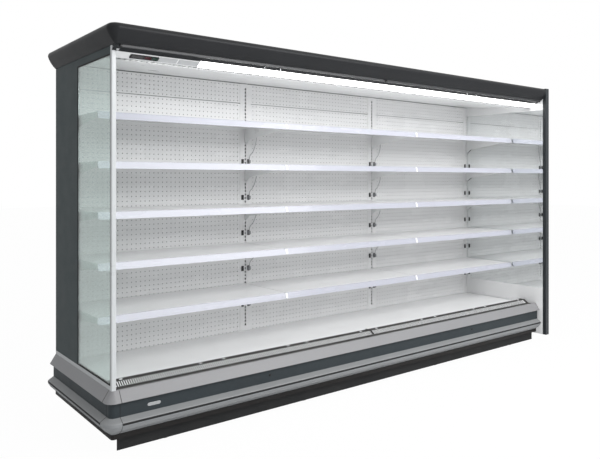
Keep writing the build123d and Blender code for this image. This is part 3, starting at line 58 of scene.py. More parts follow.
run_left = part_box("shelf_trays_1")[0].x - BRACKET_ROOM
shelf_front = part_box("shelf_trays_1")[0].y


def at(x, y, z):
    """A point given from the run's left end and the shelf fronts."""
    return Vector((run_left + x, shelf_front + y, z))


# ---- Camera ----
# Eye height, to the left of the cabinet's front, with level verticals: the slight downward
# framing comes from the shift alone.
CAMERA_PLACE = at(-1.2501, -3.3583, 1.387)
CAMERA_TURN = -37.925
CAMERA_LENS = 38.48
CAMERA_SHIFT = -0.0831

scene = bpy.context.scene


def placed(name, data):
    """A new object in the scene that shows this data."""
    made = bpy.data.objects.new(name, data)
    scene.collection.objects.link(made)
    return made


camera_data = bpy.data.cameras.new("camera")
camera_data.lens = CAMERA_LENS
camera_data.sensor_width = 36
camera_data.shift_y = CAMERA_SHIFT
camera = placed("camera", camera_data)
camera.location = CAMERA_PLACE
camera.rotation_euler = (math.radians(90), 0, math.radians(CAMERA_TURN))
scene.camera = camera

# ---- Studio floor and background ----
# A pale floor that keeps the cabinet's shadow and fades into a white background. Only the camera
# meets that white; the cabinet is lit by a dimmer grey, so its dark coats stay dark.
FLOOR_HALF = 30.0
FLOOR_COLOUR = (0.90, 0.90, 0.90, 1)
FLOOR_GLOW = 0.975
WORLD_LIGHT = (0.62, 0.625, 0.63, 1)
WORLD_WHITE = (1, 1, 1, 1)

scene.view_settings.view_transform = "Standard"


def feed(tree, socket, value):
    """Give a node's input a constant, or link it where the value is a node's output."""
    if isinstance(value, bpy.types.NodeSocket):
        tree.links.new(value, socket)
    else:
        socket.default_value = value


def maths(tree, operation, first, second):
    """A Math node; each operand is a socket or a number."""
    node = tree.nodes.new("ShaderNodeMath")
    node.operation = operation
    feed(tree, node.inputs[0], first)
    feed(tree, node.inputs[1], second)
    return node.outputs[0]


def mixed(tree, factor, first, second):
    """The first colour where the factor is 0, and the second where it is 1."""
    node = tree.nodes.new("ShaderNodeMix")
    node.data_type = "RGBA"
    tree.links.new(factor, node.inputs["Factor"])
    feed(tree, node.inputs[6], first)
    feed(tree, node.inputs[7], second)
    return node.outputs[2]


def show_mix(tree, factor, first, second):
    """Send a mix of two shaders to the material's output."""
    node = tree.nodes.new("ShaderNodeMixShader")
    tree.links.new(factor, node.inputs["Fac"])
    tree.links.new(first, node.inputs[1])
    tree.links.new(second, node.inputs[2])
    tree.links.new(node.outputs[0], tree.nodes["Material Output"].inputs["Surface"])


def is_seen(tree):
    """1 for the rays that should meet a white background: the camera's, also through the glass."""
    rays = tree.nodes.new("ShaderNodeLightPath").outputs
    return maths(tree, "MAXIMUM", rays["Is Camera Ray"], rays["Is Transmission Ray"])


floor_mesh = bpy.data.meshes.new("studio_floor")
floor_corners = [
    (-FLOOR_HALF, -FLOOR_HALF, 0), (FLOOR_HALF, -FLOOR_HALF, 0),
    (FLOOR_HALF, FLOOR_HALF, 0), (-FLOOR_HALF, FLOOR_HALF, 0),
]
floor_mesh.from_pydata(floor_corners, [], [(0, 1, 2, 3)])
placed("studio_floor", floor_mesh)

floor_paint = bpy.data.materials.new("studio_floor")
floor_paint.use_nodes = True
tree = floor_paint.node_tree
floor_shader = tree.nodes["Principled BSDF"]
floor_shader.inputs["Base Color"].default_value = FLOOR_COLOUR
floor_shader.inputs["Roughness"].default_value = 0.8
floor_shader.inputs["Specular IOR Level"].default_value = 0.1
glow = tree.nodes.new("ShaderNodeEmission")
glow.inputs["Strength"].default_value = 1.0
share = maths(tree, "MULTIPLY", is_seen(tree), FLOOR_GLOW)
show_mix(tree, share, floor_shader.outputs[0], glow.outputs[0])
floor_mesh.materials.append(floor_paint)

world = bpy.data.worlds.new("studio")
scene.world = world
world.use_nodes = True
tree = world.node_tree
background = tree.nodes["Background"]
background.inputs["Strength"].default_value = 1.0
tree.links.new(mixed(tree, is_seen(tree), WORLD_LIGHT, WORLD_WHITE), background.inputs["Color"])

# ---- Studio lamps ----
# A large soft box high ahead of the open front, a weak one high on the left, and a narrow lamp
# where the cabinet's own lamp shines on its back panels, all at a plain level.
LAMPS = [
    ("front_softbox", at(2.8, -3.9, 3.3), at(2.0, 0.1, 0.7), 4.0, 2.4, 205),
    ("left_softbox", at(-4.2, -0.8, 3.0), at(0.0, 0.2, 1.0), 3.0, 2.4, 6),
    ("canopy_lamp", at(1.9, -0.17, 1.985), at(1.9, 0.485, 1.70), 3.6, 0.03, 1.6),
]
for lamp_name, lamp_place, lamp_target, lamp_width, lamp_height, watts in LAMPS:
    lamp_data = bpy.data.lights.new(lamp_name, "AREA")
    lamp_data.shape = "RECTANGLE"
    lamp_data.size = lamp_width
    lamp_data.size_y = lamp_height
    lamp_data.energy = watts
    lamp = placed(lamp_name, lamp_data)
    lamp.location = lamp_place
    lamp.rotation_euler = (lamp_target - lamp_place).to_track_quat("-Z", "Y").to_euler()

# ---- Base frame ----
# Steel channels welded to a frame that carries the tub, hot-dip galvanised afterwards, so the
# zinc shows its dull crystals.
ZINC = (0.42, 0.43, 0.44, 1)
ZINC_FLAKES = 45.0
UPWARD_LEAST = 0.12
WIPE_STRETCH = (1.5, 9.0, 14.0)


def effect(name, inputs):
    """A shader node group with these inputs that puts out a colour, a roughness and a height."""
    group = bpy.data.node_groups.new(name, "ShaderNodeTree")
    kinds = {tuple: "NodeSocketColor", float: "NodeSocketFloat", Vector: "NodeSocketVector"}
    for label, value in inputs.items():
        socket = group.interface.new_socket(label, in_out="INPUT", socket_type=kinds[type(value)])
        socket.default_value = value
    group.interface.new_socket("Colour", in_out="OUTPUT", socket_type="NodeSocketColor")
    group.interface.new_socket("Roughness", in_out="OUTPUT", socket_type="NodeSocketFloat")
    group.interface.new_socket("Height", in_out="OUTPUT", socket_type="NodeSocketFloat")
    return group, group.nodes.new("NodeGroupInput"), group.nodes.new("NodeGroupOutput")


def object_place(tree):
    """Position on the piece, in metres."""
    return tree.nodes.new("ShaderNodeTexCoord").outputs["Object"]


def stretched(tree, by):
    """Position on the piece, with each axis stretched by a vector or a socket."""
    node = tree.nodes.new("ShaderNodeVectorMath")
    node.operation = "MULTIPLY"
    tree.links.new(object_place(tree), node.inputs[0])
    feed(tree, node.inputs[1], by)
    return node.outputs[0]


def parted(tree, vector):
    """The X, Y and Z of a vector."""
    node = tree.nodes.new("ShaderNodeSeparateXYZ")
    tree.links.new(vector, node.inputs[0])
    return node.outputs


def noise(tree, vector, scale, detail):
    """A noise texture over the vector, its scale a socket or a number."""
    node = tree.nodes.new("ShaderNodeTexNoise")
    node.inputs["Detail"].default_value = detail
    tree.links.new(vector, node.inputs["Vector"])
    feed(tree, node.inputs["Scale"], scale)
    return node.outputs["Fac"]


def shaded(tree, colour, value, amount):
    """The colour made darker and lighter by the amount as the value runs from 0 to 1."""
    swing = maths(tree, "MULTIPLY", maths(tree, "SUBTRACT", value, 0.5), amount)
    factor = maths(tree, "ADD", maths(tree, "MULTIPLY", swing, 2.0), 1.0)
    scale = tree.nodes.new("ShaderNodeVectorMath")
    scale.operation = "SCALE"
    tree.links.new(colour, scale.inputs[0])
    tree.links.new(factor, scale.inputs["Scale"])
    return scale.outputs[0]


def spread(tree, roughness, value, amount):
    """The roughness moved up and down by the amount as the value runs from 0 to 1."""
    swing = maths(tree, "MULTIPLY", maths(tree, "SUBTRACT", value, 0.5), amount)
    return maths(tree, "ADD", roughness, swing)


def put_out(tree, given, out, tone, height, colour=None):
    """Send a colour and a roughness that swing with the tone, and the height, out of a group."""
    given = given.outputs
    base = given["Colour"] if colour is None else colour
    tree.links.new(shaded(tree, base, tone, given["Shade"]), out.inputs["Colour"])
    tree.links.new(spread(tree, given["Roughness"], tone, given["Spread"]), out.inputs["Roughness"])
    tree.links.new(height, out.inputs["Height"])


spangle, given, out = effect("zinc spangle", {
    "Colour": (0.4, 0.4, 0.4, 1), "Shade": 0.2, "Flakes": 40.0, "Roughness": 0.4, "Spread": 0.2,
})
crystals = spangle.nodes.new("ShaderNodeTexVoronoi")
spangle.links.new(object_place(spangle), crystals.inputs["Vector"])
spangle.links.new(given.outputs["Flakes"], crystals.inputs["Scale"])
crystal_tone = spangle.nodes.new("ShaderNodeSeparateColor")
spangle.links.new(crystals.outputs["Color"], crystal_tone.inputs[0])
put_out(spangle, given, out, crystal_tone.outputs[0], crystals.outputs["Distance"])

dust, given, out = effect("dust and wipe marks", {
    "Colour": (0.5, 0.5, 0.5, 1), "Roughness": 0.4, "Height": 0.0,
    "Dust colour": (0.45, 0.43, 0.40, 1), "Dust": 0.2, "Wipe marks": 0.1,
})
given = given.outputs
facing = parted(dust, dust.nodes.new("ShaderNodeNewGeometry").outputs["Normal"])
upward = maths(dust, "MAXIMUM", facing["Z"], UPWARD_LEAST)
patches = noise(dust, object_place(dust), 7.0, 4.0)
dusty = maths(dust, "MULTIPLY", maths(dust, "MULTIPLY", upward, patches), given["Dust"])
marks = noise(dust, stretched(dust, WIPE_STRETCH), 1.0, 3.0)
dulled = maths(dust, "ADD", given["Roughness"], dusty)
dust.links.new(mixed(dust, dusty, given["Colour"], given["Dust colour"]), out.inputs["Colour"])
dust.links.new(spread(dust, dulled, marks, given["Wipe marks"]), out.inputs["Roughness"])
dust.links.new(given["Height"], out.inputs["Height"])


def material(
    name, look, colour, depth=0.0002, metallic=0.0, specular=0.5, dirt=None, shader=None, **values
):
    """A material whose colour, roughness and bump come from a look, and from dust on top of it.
    values are the look's other inputs, dirt its dust and wipe marks, and metallic, specular and
    shader the Principled BSDF's own constants."""
    made = bpy.data.materials.new(name)
    made.use_nodes = True
    tree = made.node_tree
    principled = tree.nodes["Principled BSDF"]
    constants = {"Metallic": metallic, "Specular IOR Level": specular, **(shader or {})}
    for label, value in constants.items():
        principled.inputs[label].default_value = value
    last = tree.nodes.new("ShaderNodeGroup")
    last.node_tree = look
    last.inputs["Colour"].default_value = colour
    for label, value in values.items():
        last.inputs[label.replace("_", " ").capitalize()].default_value = value
    if dirt:
        layer = tree.nodes.new("ShaderNodeGroup")
        layer.node_tree = dust
        layer.inputs["Dust"].default_value = dirt[0]
        layer.inputs["Wipe marks"].default_value = dirt[1]
        for label in ("Colour", "Roughness", "Height"):
            tree.links.new(last.outputs[label], layer.inputs[label])
        last = layer
    tree.links.new(last.outputs["Colour"], principled.inputs["Base Color"])
    tree.links.new(last.outputs["Roughness"], principled.inputs["Roughness"])
    bump = tree.nodes.new("ShaderNodeBump")
    bump.inputs["Distance"].default_value = depth
    tree.links.new(last.outputs["Height"], bump.inputs["Height"])
    tree.links.new(bump.outputs["Normal"], principled.inputs["Normal"])
    return made


def finish(made, *nodes):
    """Give CAD nodes this material."""
    for node in nodes:
        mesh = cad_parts[node].data
        mesh.materials.clear()
        mesh.materials.append(made)


zinc = material(
    "galvanised_steel", spangle, ZINC, depth=0.00005, metallic=0.85, dirt=(0.5, 0.1),
    shade=0.18, flakes=ZINC_FLAKES, roughness=0.42, spread=0.2,
)
finish(zinc, "base_frame")

# ---- Levelling feet ----
# Steel studs on round pads, zinc plated, screwed up into the base frame and locked with a nut.
# They hold the whole cabinet level and clear of the floor.
PLATED = (0.50, 0.50, 0.47, 1)
plated = material(
    "zinc_plated_stud", spangle, PLATED, metallic=0.9, dirt=(0.6, 0.1),
    shade=0.08, flakes=400.0, roughness=0.35, spread=0.1,
)
finish(plated, "levelling_feet")

# ---- Kick plate ----
# Folded steel sheet in matt black powder coat, fixed to the base frame, set back under the
# bumper and clear of the floor.
KICK_BLACK = (0.012, 0.013, 0.014, 1)

powder, given, out = effect("powder coat", {
    "Colour": (0.5, 0.5, 0.5, 1), "Shade": 0.04, "Patches": 3.0, "Grain": 900.0,
    "Roughness": 0.4, "Spread": 0.1,
})
patches = noise(powder, object_place(powder), given.outputs["Patches"], 3.0)
grain = noise(powder, object_place(powder), given.outputs["Grain"], 1.0)
put_out(powder, given, out, patches, grain)

kick_black = material(
    "kick_plate_black", powder, KICK_BLACK, specular=0.2, dirt=(0.25, 0.2), shade=0.25, roughness=0.55,
)
finish(kick_black, "kick_plate")

# ---- Tub and drain ----
# A foamed tub with galvanised skins, which stands on the base frame, and a grey moulded drain
# pushed through its floor.
TUB_SKIN = (0.36, 0.37, 0.38, 1)
DRAIN_GREY = (0.24, 0.25, 0.26, 1)
tub_skin = material(
    "tub_skin", spangle, TUB_SKIN, depth=0.00003, metallic=0.5, dirt=(0.4, 0.2),
    shade=0.12, flakes=60.0, roughness=0.5, spread=0.2,
)
finish(tub_skin, "tub")
drain_grey = material("drain_moulding", powder, DRAIN_GREY, dirt=(0.3, 0.1), grain=1500.0, roughness=0.45)
finish(drain_grey, "drain_outlet")

# ---- Fans and evaporator ----
# Black moulded axial fans on wire spiders, screwed into a galvanised plate that spans the tub.
# Behind them lies a coil of tubes with pressed-on aluminium fins.
FAN_BLACK = (0.02, 0.02, 0.022, 1)
FIN_METAL = (0.62, 0.63, 0.64, 1)
fan_black = material("fan_moulding", powder, FAN_BLACK, dirt=(0.35, 0.1), grain=2500.0, roughness=0.5)
finish(fan_black, "fan_motors", "fan_rotor_1", "fan_rotor_2", "fan_rotor_3")
finish(zinc, "fan_plate")
fin_metal = material(
    "fin_aluminium", powder, FIN_METAL, metallic=0.9, dirt=(0.3, 0.1), shade=0.1, grain=300.0,
)
finish(fin_metal, "evaporator_coil")

# ---- Front and side cladding ----
# Three bands run round the front, the corner and the left side: a grey hand rail, an anthracite
# apron and a grey bumper, all of coated profiles that clip onto the tub, the corners moulded. The
# apron's colour below the bumper is painted shade, near black, for the shadow under the bumper.
RAIL_FRONT_GREY = (0.248, 0.249, 0.258, 1)
APRON_SLATE = (0.030, 0.038, 0.043, 1)
# Painted shade: the apron's colour below this height, where the bumper overhangs it.
UNDER_BUMPER_SHADE_BLACK = (0.013, 0.012, 0.012, 1)
PAINTED_SHADE_TOP = 0.15
BUMPER_GREY = (0.232, 0.242, 0.250, 1)

rail_grey = material(
    "hand_rail_grey", powder, RAIL_FRONT_GREY, depth=0.0001, specular=0.3, dirt=(0.12, 0.12),
    shade=0.05, grain=1400.0, roughness=0.38, spread=0.12,
)
finish(rail_grey, "rail_front", "rail_side", "rail_corner")

# The apron's coat with painted shade: near black below a height, the shadow under the bumper.
under_bumper_shaded, given, out = effect("coat with painted shade under bumper", {
    "Colour": (0.5, 0.5, 0.5, 1), "Foot colour": (0.1, 0.1, 0.1, 1), "Foot height": 0.15,
    "Shade": 0.1, "Grain": 900.0, "Roughness": 0.4, "Spread": 0.1,
})
height = parted(under_bumper_shaded, object_place(under_bumper_shaded))["Z"]
in_painted_shade = maths(under_bumper_shaded, "LESS_THAN", height, given.outputs["Foot height"])
coat_and_painted_shade = mixed(under_bumper_shaded, in_painted_shade, given.outputs["Colour"], given.outputs["Foot colour"])
patches = noise(under_bumper_shaded, object_place(under_bumper_shaded), 3.0, 3.0)
grain = noise(under_bumper_shaded, object_place(under_bumper_shaded), given.outputs["Grain"], 1.0)
put_out(under_bumper_shaded, given, out, patches, grain, colour=coat_and_painted_shade)

apron_slate = material(
    "apron_slate", under_bumper_shaded, APRON_SLATE, specular=0.14, dirt=(0.12, 0.2), foot_colour=UNDER_BUMPER_SHADE_BLACK,
    foot_height=PAINTED_SHADE_TOP, shade=0.12, grain=1100.0, roughness=0.42, spread=0.15,
)
finish(apron_slate, "apron")
bumper_grey = material(
    "bumper_grey", powder, BUMPER_GREY, specular=0.4, dirt=(0.2, 0.2),
    shade=0.06, grain=1200.0, roughness=0.4, spread=0.15,
)
finish(bumper_grey, "bumper_front", "bumper_side", "bumper_corner")

# ---- Bumper groove strips ----
# A black rubber strip of T section is pressed into the bumper's groove, on the front and on the
# left side; it stops at the moulded corner.
TUB_FRONT = -0.236
TUB_LEFT = -0.012
RIGHT_INNER = 3.758
CABINET_BACK = 0.650
SEAM_X = 0.020
SEAM_Y = -0.206
END_ROOM = 0.001
RUBBER = (0.010, 0.010, 0.011, 1)
GROOVE_FLOOR = 0.04705
GROOVE_LOW = 0.1591
GROOVE_HIGH = 0.1649
STRIP_SEAT = 0.0531
STRIP_FACE = 0.0538
STRIP_LAP = 0.0030

rubber = material(
    "black_rubber", powder, RUBBER, specular=0.25, dirt=(0.2, 0.1), shade=0.2, grain=1800.0, roughness=0.6,
)


def piece(name, points, faces, made, body="cabinet", slot=None):
    """A mesh piece that rides on a body, with its faces turned outwards."""
    mesh = bpy.data.meshes.new(name)
    mesh.from_pydata([tuple(p) for p in points], [], faces)
    shell = bmesh.new()
    shell.from_mesh(mesh)
    bmesh.ops.recalc_face_normals(shell, faces=shell.faces)
    shell.to_mesh(mesh)
    shell.free()
    mesh.polygons.foreach_set("use_smooth", [False] * len(mesh.polygons))
    mesh.materials.append(made)
    made_piece = placed(name, mesh)
    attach(made_piece, body)
    return made_piece


def bevel(made_piece, width, segments=2):
    """Ease the piece's sharp edges."""
    modifier = made_piece.modifiers.new("eased_edges", "BEVEL")
    modifier.width = width
    modifier.segments = segments
    modifier.limit_method = "ANGLE"
    modifier.harden_normals = False


def prism(rings):
    """Points and faces of closed shapes; each ring pair (low, high) becomes one capped prism."""
    points = []
    faces = []
    for low, high in rings:
        first = len(points)
        count = len(low)
        points += list(low) + list(high)
        faces.append(tuple(range(first, first + count)))
        faces.append(tuple(range(first + count, first + 2 * count)))
        for i in range(count):
            j = (i + 1) % count
            faces.append((first + i, first + j, first + count + j, first + count + i))
    return points, faces


def rubber_piece(name, rings):
    """A piece of black rubber made of prisms."""
    piece(name, *prism(rings), rubber, slot="black_plastic")


def along_front(section, x0, x1):
    """A ring pair for a (reach, height) section along the front cladding."""
    return tuple([at(x, TUB_FRONT - reach, z) for reach, z in section] for x in (x0, x1))


def along_side(section, y0, y1):
    """A ring pair for a (reach, height) section along the left cladding."""
    return tuple([at(TUB_LEFT - reach, y, z) for reach, z in section] for y in (y0, y1))


strip_section = [
    (GROOVE_FLOOR, GROOVE_LOW), (STRIP_SEAT, GROOVE_LOW), (STRIP_SEAT, GROOVE_LOW - STRIP_LAP),
    (STRIP_FACE, GROOVE_LOW), (STRIP_FACE, GROOVE_HIGH), (STRIP_SEAT, GROOVE_HIGH + STRIP_LAP),
    (STRIP_SEAT, GROOVE_HIGH), (GROOVE_FLOOR, GROOVE_HIGH),
]
rubber_piece("groove_strip_front", [along_front(strip_section, SEAM_X + END_ROOM, RIGHT_INNER - END_ROOM)])
rubber_piece("groove_strip_side", [along_side(strip_section, SEAM_Y + END_ROOM, CABINET_BACK - END_ROOM)])

# ---- Corner seams ----
# Thin black rubber gaskets, laid in the joints between the moulded corner pieces and the straight
# lengths of rail, apron and bumper before those are clipped on.
SEAM_WIDTH = 0.0024
SEAM_PROUD = 0.0005
SEAM_SUNK = 0.0008
RAIL_FACE = [(0.0045, 0.3238), (0.008, 0.3210), (0.0432, 0.2675), (0.0415, 0.2660), (0.0205, 0.2660)]
APRON_FACE = [(0.020, 0.2658), (0.020, 0.1902)]
BUMPER_FACE = [
    (0.0202, 0.1898), (0.0500, 0.1720), (0.0525, 0.1690), (0.0530, 0.1655), (0.0530, 0.1560),
    (0.0515, 0.1505), (0.0380, 0.1290), (0.0082, 0.1052),
]
APRON_FOOT = [(0.008, 0.1045), (0.008, 0.0782)]


def shifted(line, distance):
    """The open line moved sideways by the distance, at each point square to its neighbours."""
    moved = []
    for i, (reach, z) in enumerate(line):
        before = line[max(i - 1, 0)]
        after = line[min(i + 1, len(line) - 1)]
        length = math.dist(before, after)
        moved.append((
            reach - (after[1] - before[1]) / length * distance,
            z + (after[0] - before[0]) / length * distance,
        ))
    return moved


half = SEAM_WIDTH / 2
front_seams = []
side_seams = []
for line in (RAIL_FACE, APRON_FACE, BUMPER_FACE, APRON_FOOT):
    gasket = shifted(line, SEAM_PROUD) + shifted(line, -SEAM_SUNK)[::-1]
    front_seams.append(along_front(gasket, SEAM_X - half, SEAM_X + half))
    side_seams.append(along_side(gasket, SEAM_Y - half, SEAM_Y + half))
rubber_piece("corner_seam_front", front_seams)
rubber_piece("corner_seam_side", side_seams)

# ---- Bare plate and fasteners on the apron ----
# A rounded blank plate is riveted to the apron near the corner, and two dark screws with domed
# caps hold the long apron to the tub.
PLATE_GREY = (0.42, 0.43, 0.44, 1)
PLATE_MIDDLE = (0.204, 0.223)
PLATE_LENGTH = 0.074
PLATE_HEIGHT = 0.017
PLATE_THICKNESS = 0.0016
APRON_REACH = 0.020
CAP_PLACES = [(0.942, 0.231), (2.857, 0.229)]
CAP_RADIUS = 0.007
CAP_THICKNESS = 0.003
HAIR = 0.0001
EASE = 0.12


def rounded_outline(width, height, radius, steps=6):
    """Closed outline of a rounded rectangle round its middle, as (across, up) points."""
    points = []
    for corner in range(4):
        across = (width / 2 - radius) * (1 if corner in (0, 3) else -1)
        up = (height / 2 - radius) * (1 if corner < 2 else -1)
        for i in range(steps + 1):
            turn = math.radians(90 * corner + 90 * i / steps)
            points.append((across + radius * math.cos(turn), up + radius * math.sin(turn)))
    return points


def disc(radius, steps=6):
    """A round outline; a hair of straight length keeps its points apart."""
    return rounded_outline(2 * radius, 2 * radius, radius - HAIR, steps)


def dome(outline, low, high, place, shrink):
    """Points and faces of a plate with a domed face: place turns (across, up, out) into a point."""
    levels = [
        (1.0, low), (1.0, (low + high) / 2), ((1 + shrink) / 2, high - (high - low) * EASE), (shrink, high),
    ]
    points = []
    faces = []
    count = len(outline)
    for share, out_by in levels:
        points += [place(across * share, up * share, out_by) for across, up in outline]
    for level in range(len(levels) - 1):
        for i in range(count):
            j = (i + 1) % count
            a = level * count
            faces.append((a + i, a + j, a + count + j, a + count + i))
    faces.append(tuple(range(count)))
    faces.append(tuple(range((len(levels) - 1) * count, len(levels) * count)))
    return points, faces


def on_face(x, y, z):
    """A place from (across, up, out) round a point of a face that looks forward."""
    return lambda across, up, out_by: at(x + across, y - out_by, z + up)


plate_grey = material(
    "blank_plate", powder, PLATE_GREY, metallic=0.6, dirt=(0.1, 0.1), shade=0.06, grain=700.0, roughness=0.35,
)
apron_y = TUB_FRONT - APRON_REACH
plate_outline = rounded_outline(PLATE_LENGTH, PLATE_HEIGHT, PLATE_HEIGHT / 2 - HAIR)
plate_place = on_face(PLATE_MIDDLE[0], apron_y, PLATE_MIDDLE[1])
piece(
    "blank_plate", *dome(plate_outline, 0.0, PLATE_THICKNESS, plate_place, shrink=0.93), plate_grey,
    slot="profile_silver",
)
for number, (cap_x, cap_z) in enumerate(CAP_PLACES, start=1):
    cap = dome(disc(CAP_RADIUS), 0.0, CAP_THICKNESS, on_face(cap_x, apron_y, cap_z), shrink=0.6)
    piece(f"apron_cap_{number}", *cap, rubber, slot="black_plastic")

# ---- Deck pans ----
# Folded steel pans in white powder coat, two to a bay, which lie loose on the tub's edges and
# are lifted out for cleaning.
DECK_WHITE = (0.90, 0.905, 0.91, 1)
deck_white = material(
    "deck_white", powder, DECK_WHITE, depth=0.0001, dirt=(0.12, 0.14),
    shade=0.02, grain=1000.0, roughness=0.34, spread=0.12,
)
finish(deck_white, "deck_pans")

# ---- Air return grille ----
# Folded and slotted steel in white, in lengths of half a bay. Black rubber seals lie over its top
# edge and its foot, a black mat behind the slots is painted shade for the shaded duct behind them,
# and dark covers close its joint and end.
GRILLE_WHITE = (0.78, 0.79, 0.80, 1)
SLOPE_FOOT = (-0.168, 0.314)
SLOPE_HEAD = (-0.132, 0.338)
GRILLE_LEFT = 0.0065
GRILLE_REAR = -0.088
SEAL_ON_SLOPE = 0.0055
SEAL_ON_TOP = 0.030
SEAL_PROUD = 0.0009
FOOT_SEAL_FRONT = -0.229
FOOT_SEAL_SHARE = 0.6
SHADE_MAT_DEPTHS = (-0.0028, -0.0058)
SHADE_MAT_MARGIN = 0.003
GRILLE_LENGTH = BAY / 2
CLIP_FROM_END = 0.076
CLIP_SIZE = (0.016, 0.012, 0.0035)
CLIP_SLANT = 0.002
CLIP_SHOULDER = 0.6
JOINT_WIDTH = 0.014
END_COVER = 0.030
COVER_FOOT = 0.002
COVER_PROUD = 0.0016

grille_white = material(
    "grille_white", powder, GRILLE_WHITE, depth=0.0001, dirt=(0.15, 0.1),
    shade=0.02, grain=1000.0, roughness=0.36,
)
finish(grille_white, "return_grille")


def along_run(section, x0, x1):
    """A ring pair for a (y, height) section that runs along the shelves."""
    return tuple([at(x, y, z) for y, z in section] for x in (x0, x1))


slope_length = math.dist(SLOPE_FOOT, SLOPE_HEAD)
slope_along = [(head - foot) / slope_length for foot, head in zip(SLOPE_FOOT, SLOPE_HEAD)]


def on_slope(from_foot, proud):
    """(y, z) of a point on the grille's slope, this far up from its foot and out of its face."""
    return (
        SLOPE_FOOT[0] + slope_along[0] * from_foot - slope_along[1] * proud,
        SLOPE_FOOT[1] + slope_along[1] * from_foot + slope_along[0] * proud,
    )


def over_top(from_foot, on_top, proud):
    """(y, z) section of a sheet on the upper part of the slope that is folded over the flat top."""
    fold_y, fold_z = SLOPE_HEAD
    return [
        on_slope(from_foot, HAIR), on_slope(from_foot, proud), (fold_y - proud * 0.4, fold_z + proud),
        (fold_y + on_top, fold_z + proud), (fold_y + on_top, fold_z + HAIR), (fold_y, fold_z + HAIR),
    ]


foot_y, foot_z = SLOPE_FOOT
foot_seal = [
    (FOOT_SEAL_FRONT, foot_z + HAIR), (FOOT_SEAL_FRONT, foot_z + SEAL_PROUD),
    (foot_y - 0.001, foot_z + SEAL_PROUD), on_slope(SEAL_ON_SLOPE * FOOT_SEAL_SHARE, SEAL_PROUD),
    on_slope(SEAL_ON_SLOPE * FOOT_SEAL_SHARE, HAIR), (foot_y, foot_z + HAIR),
]
head_seal = over_top(slope_length - SEAL_ON_SLOPE, SEAL_ON_TOP, SEAL_PROUD)
grille_right = RIGHT_INNER - END_ROOM
rubber_piece("grille_seals", [along_run(seal, GRILLE_LEFT, grille_right) for seal in (foot_seal, head_seal)])
# Painted shade: a black sheet just behind the slots, which makes them read as the shaded duct.
shade_mat_top = slope_length - SHADE_MAT_MARGIN
shade_mat_section = [on_slope(SHADE_MAT_MARGIN, SHADE_MAT_DEPTHS[0]), on_slope(shade_mat_top, SHADE_MAT_DEPTHS[0])]
shade_mat_section += [on_slope(shade_mat_top, SHADE_MAT_DEPTHS[1]), on_slope(SHADE_MAT_MARGIN, SHADE_MAT_DEPTHS[1])]
rubber_piece("grille_painted_shade_mat", [along_run(shade_mat_section, GRILLE_LEFT, grille_right)])

clip_width, clip_depth, clip_height = CLIP_SIZE
y = SLOPE_HEAD[0] + 0.001
z = SLOPE_HEAD[1] + SEAL_PROUD
clip_section = [
    (y, z + HAIR), (y, z + clip_height * CLIP_SHOULDER), (y + CLIP_SLANT, z + clip_height),
    (y + clip_depth - CLIP_SLANT, z + clip_height), (y + clip_depth, z + HAIR),
]
clip_rings = []
for length_index in range(BAYS * 2):
    for clip_x in (CLIP_FROM_END, GRILLE_LENGTH - CLIP_FROM_END):
        x = length_index * GRILLE_LENGTH + clip_x
        clip_rings.append(along_run(clip_section, x - clip_width / 2, x + clip_width / 2))
piece("grille_clips", *prism(clip_rings), grille_white, slot="grille_white")
cover_section = over_top(COVER_FOOT, GRILLE_REAR - SLOPE_HEAD[0] - 0.001, COVER_PROUD)
rubber_piece("grille_joint_covers", [
    along_run(cover_section, RUN / 2, RUN / 2 + JOINT_WIDTH),
    along_run(cover_section, RIGHT_INNER - END_COVER, RIGHT_INNER - 0.0005),
])

# ---- Rear wall ----
# Foamed sandwich panels with coated steel skins. Outside, steel cover strips are screwed over the
# joints between them, one at each end of the middle bay.
PANEL_SKIN = (0.36, 0.37, 0.38, 1)
STRIP_HALF = 0.022
STRIP_SLANT = 0.003
STRIP_EDGE = 0.0006
STRIP_CROWN = 0.0012
STRIP_ROOM = 0.002
SCREW_CROWN = 0.0026
SCREW_RADIUS = 0.005
SCREW_PITCH = 0.30
FIRST_SCREW = 0.6

panel_skin = material(
    "foam_panel_skin", powder, PANEL_SKIN, metallic=0.35, dirt=(0.3, 0.25),
    shade=0.05, patches=1.5, grain=500.0, roughness=0.42,
)
finish(panel_skin, "rear_wall")


def joined(parts):
    """One list of points and faces from several."""
    points = []
    faces = []
    for part_points, part_faces in parts:
        faces += [tuple(i + len(points) for i in face) for face in part_faces]
        points += part_points
    return points, faces


rear_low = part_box("rear_wall")[0].z
rear_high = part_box("rear_wall")[1].z
for number in range(1, BAYS):
    x = BAY * number
    rear_section = [
        (x - STRIP_HALF, CABINET_BACK), (x - STRIP_HALF, CABINET_BACK + STRIP_EDGE),
        (x - STRIP_HALF + STRIP_SLANT, CABINET_BACK + STRIP_CROWN),
        (x + STRIP_HALF - STRIP_SLANT, CABINET_BACK + STRIP_CROWN),
        (x + STRIP_HALF, CABINET_BACK + STRIP_EDGE), (x + STRIP_HALF, CABINET_BACK),
    ]
    ends = (rear_low + STRIP_ROOM, rear_high - STRIP_ROOM)
    rear_rings = [tuple([at(px, py, z) for px, py in rear_section] for z in ends)]
    piece(f"rear_cover_strip_{number}", *prism(rear_rings), zinc, slot="zinc_steel")
    screws = []
    for step in range(int((rear_high - rear_low) / SCREW_PITCH)):
        z = rear_low + SCREW_PITCH * (step + FIRST_SCREW)
        screws.append(dome(
            disc(SCREW_RADIUS, 3), STRIP_CROWN, SCREW_CROWN,
            lambda across, up, out_by: at(x + across, CABINET_BACK + out_by, z + up), shrink=0.5,
        ))
    piece(f"rear_screws_{number}", *joined(screws), plated, slot="zinc_steel")

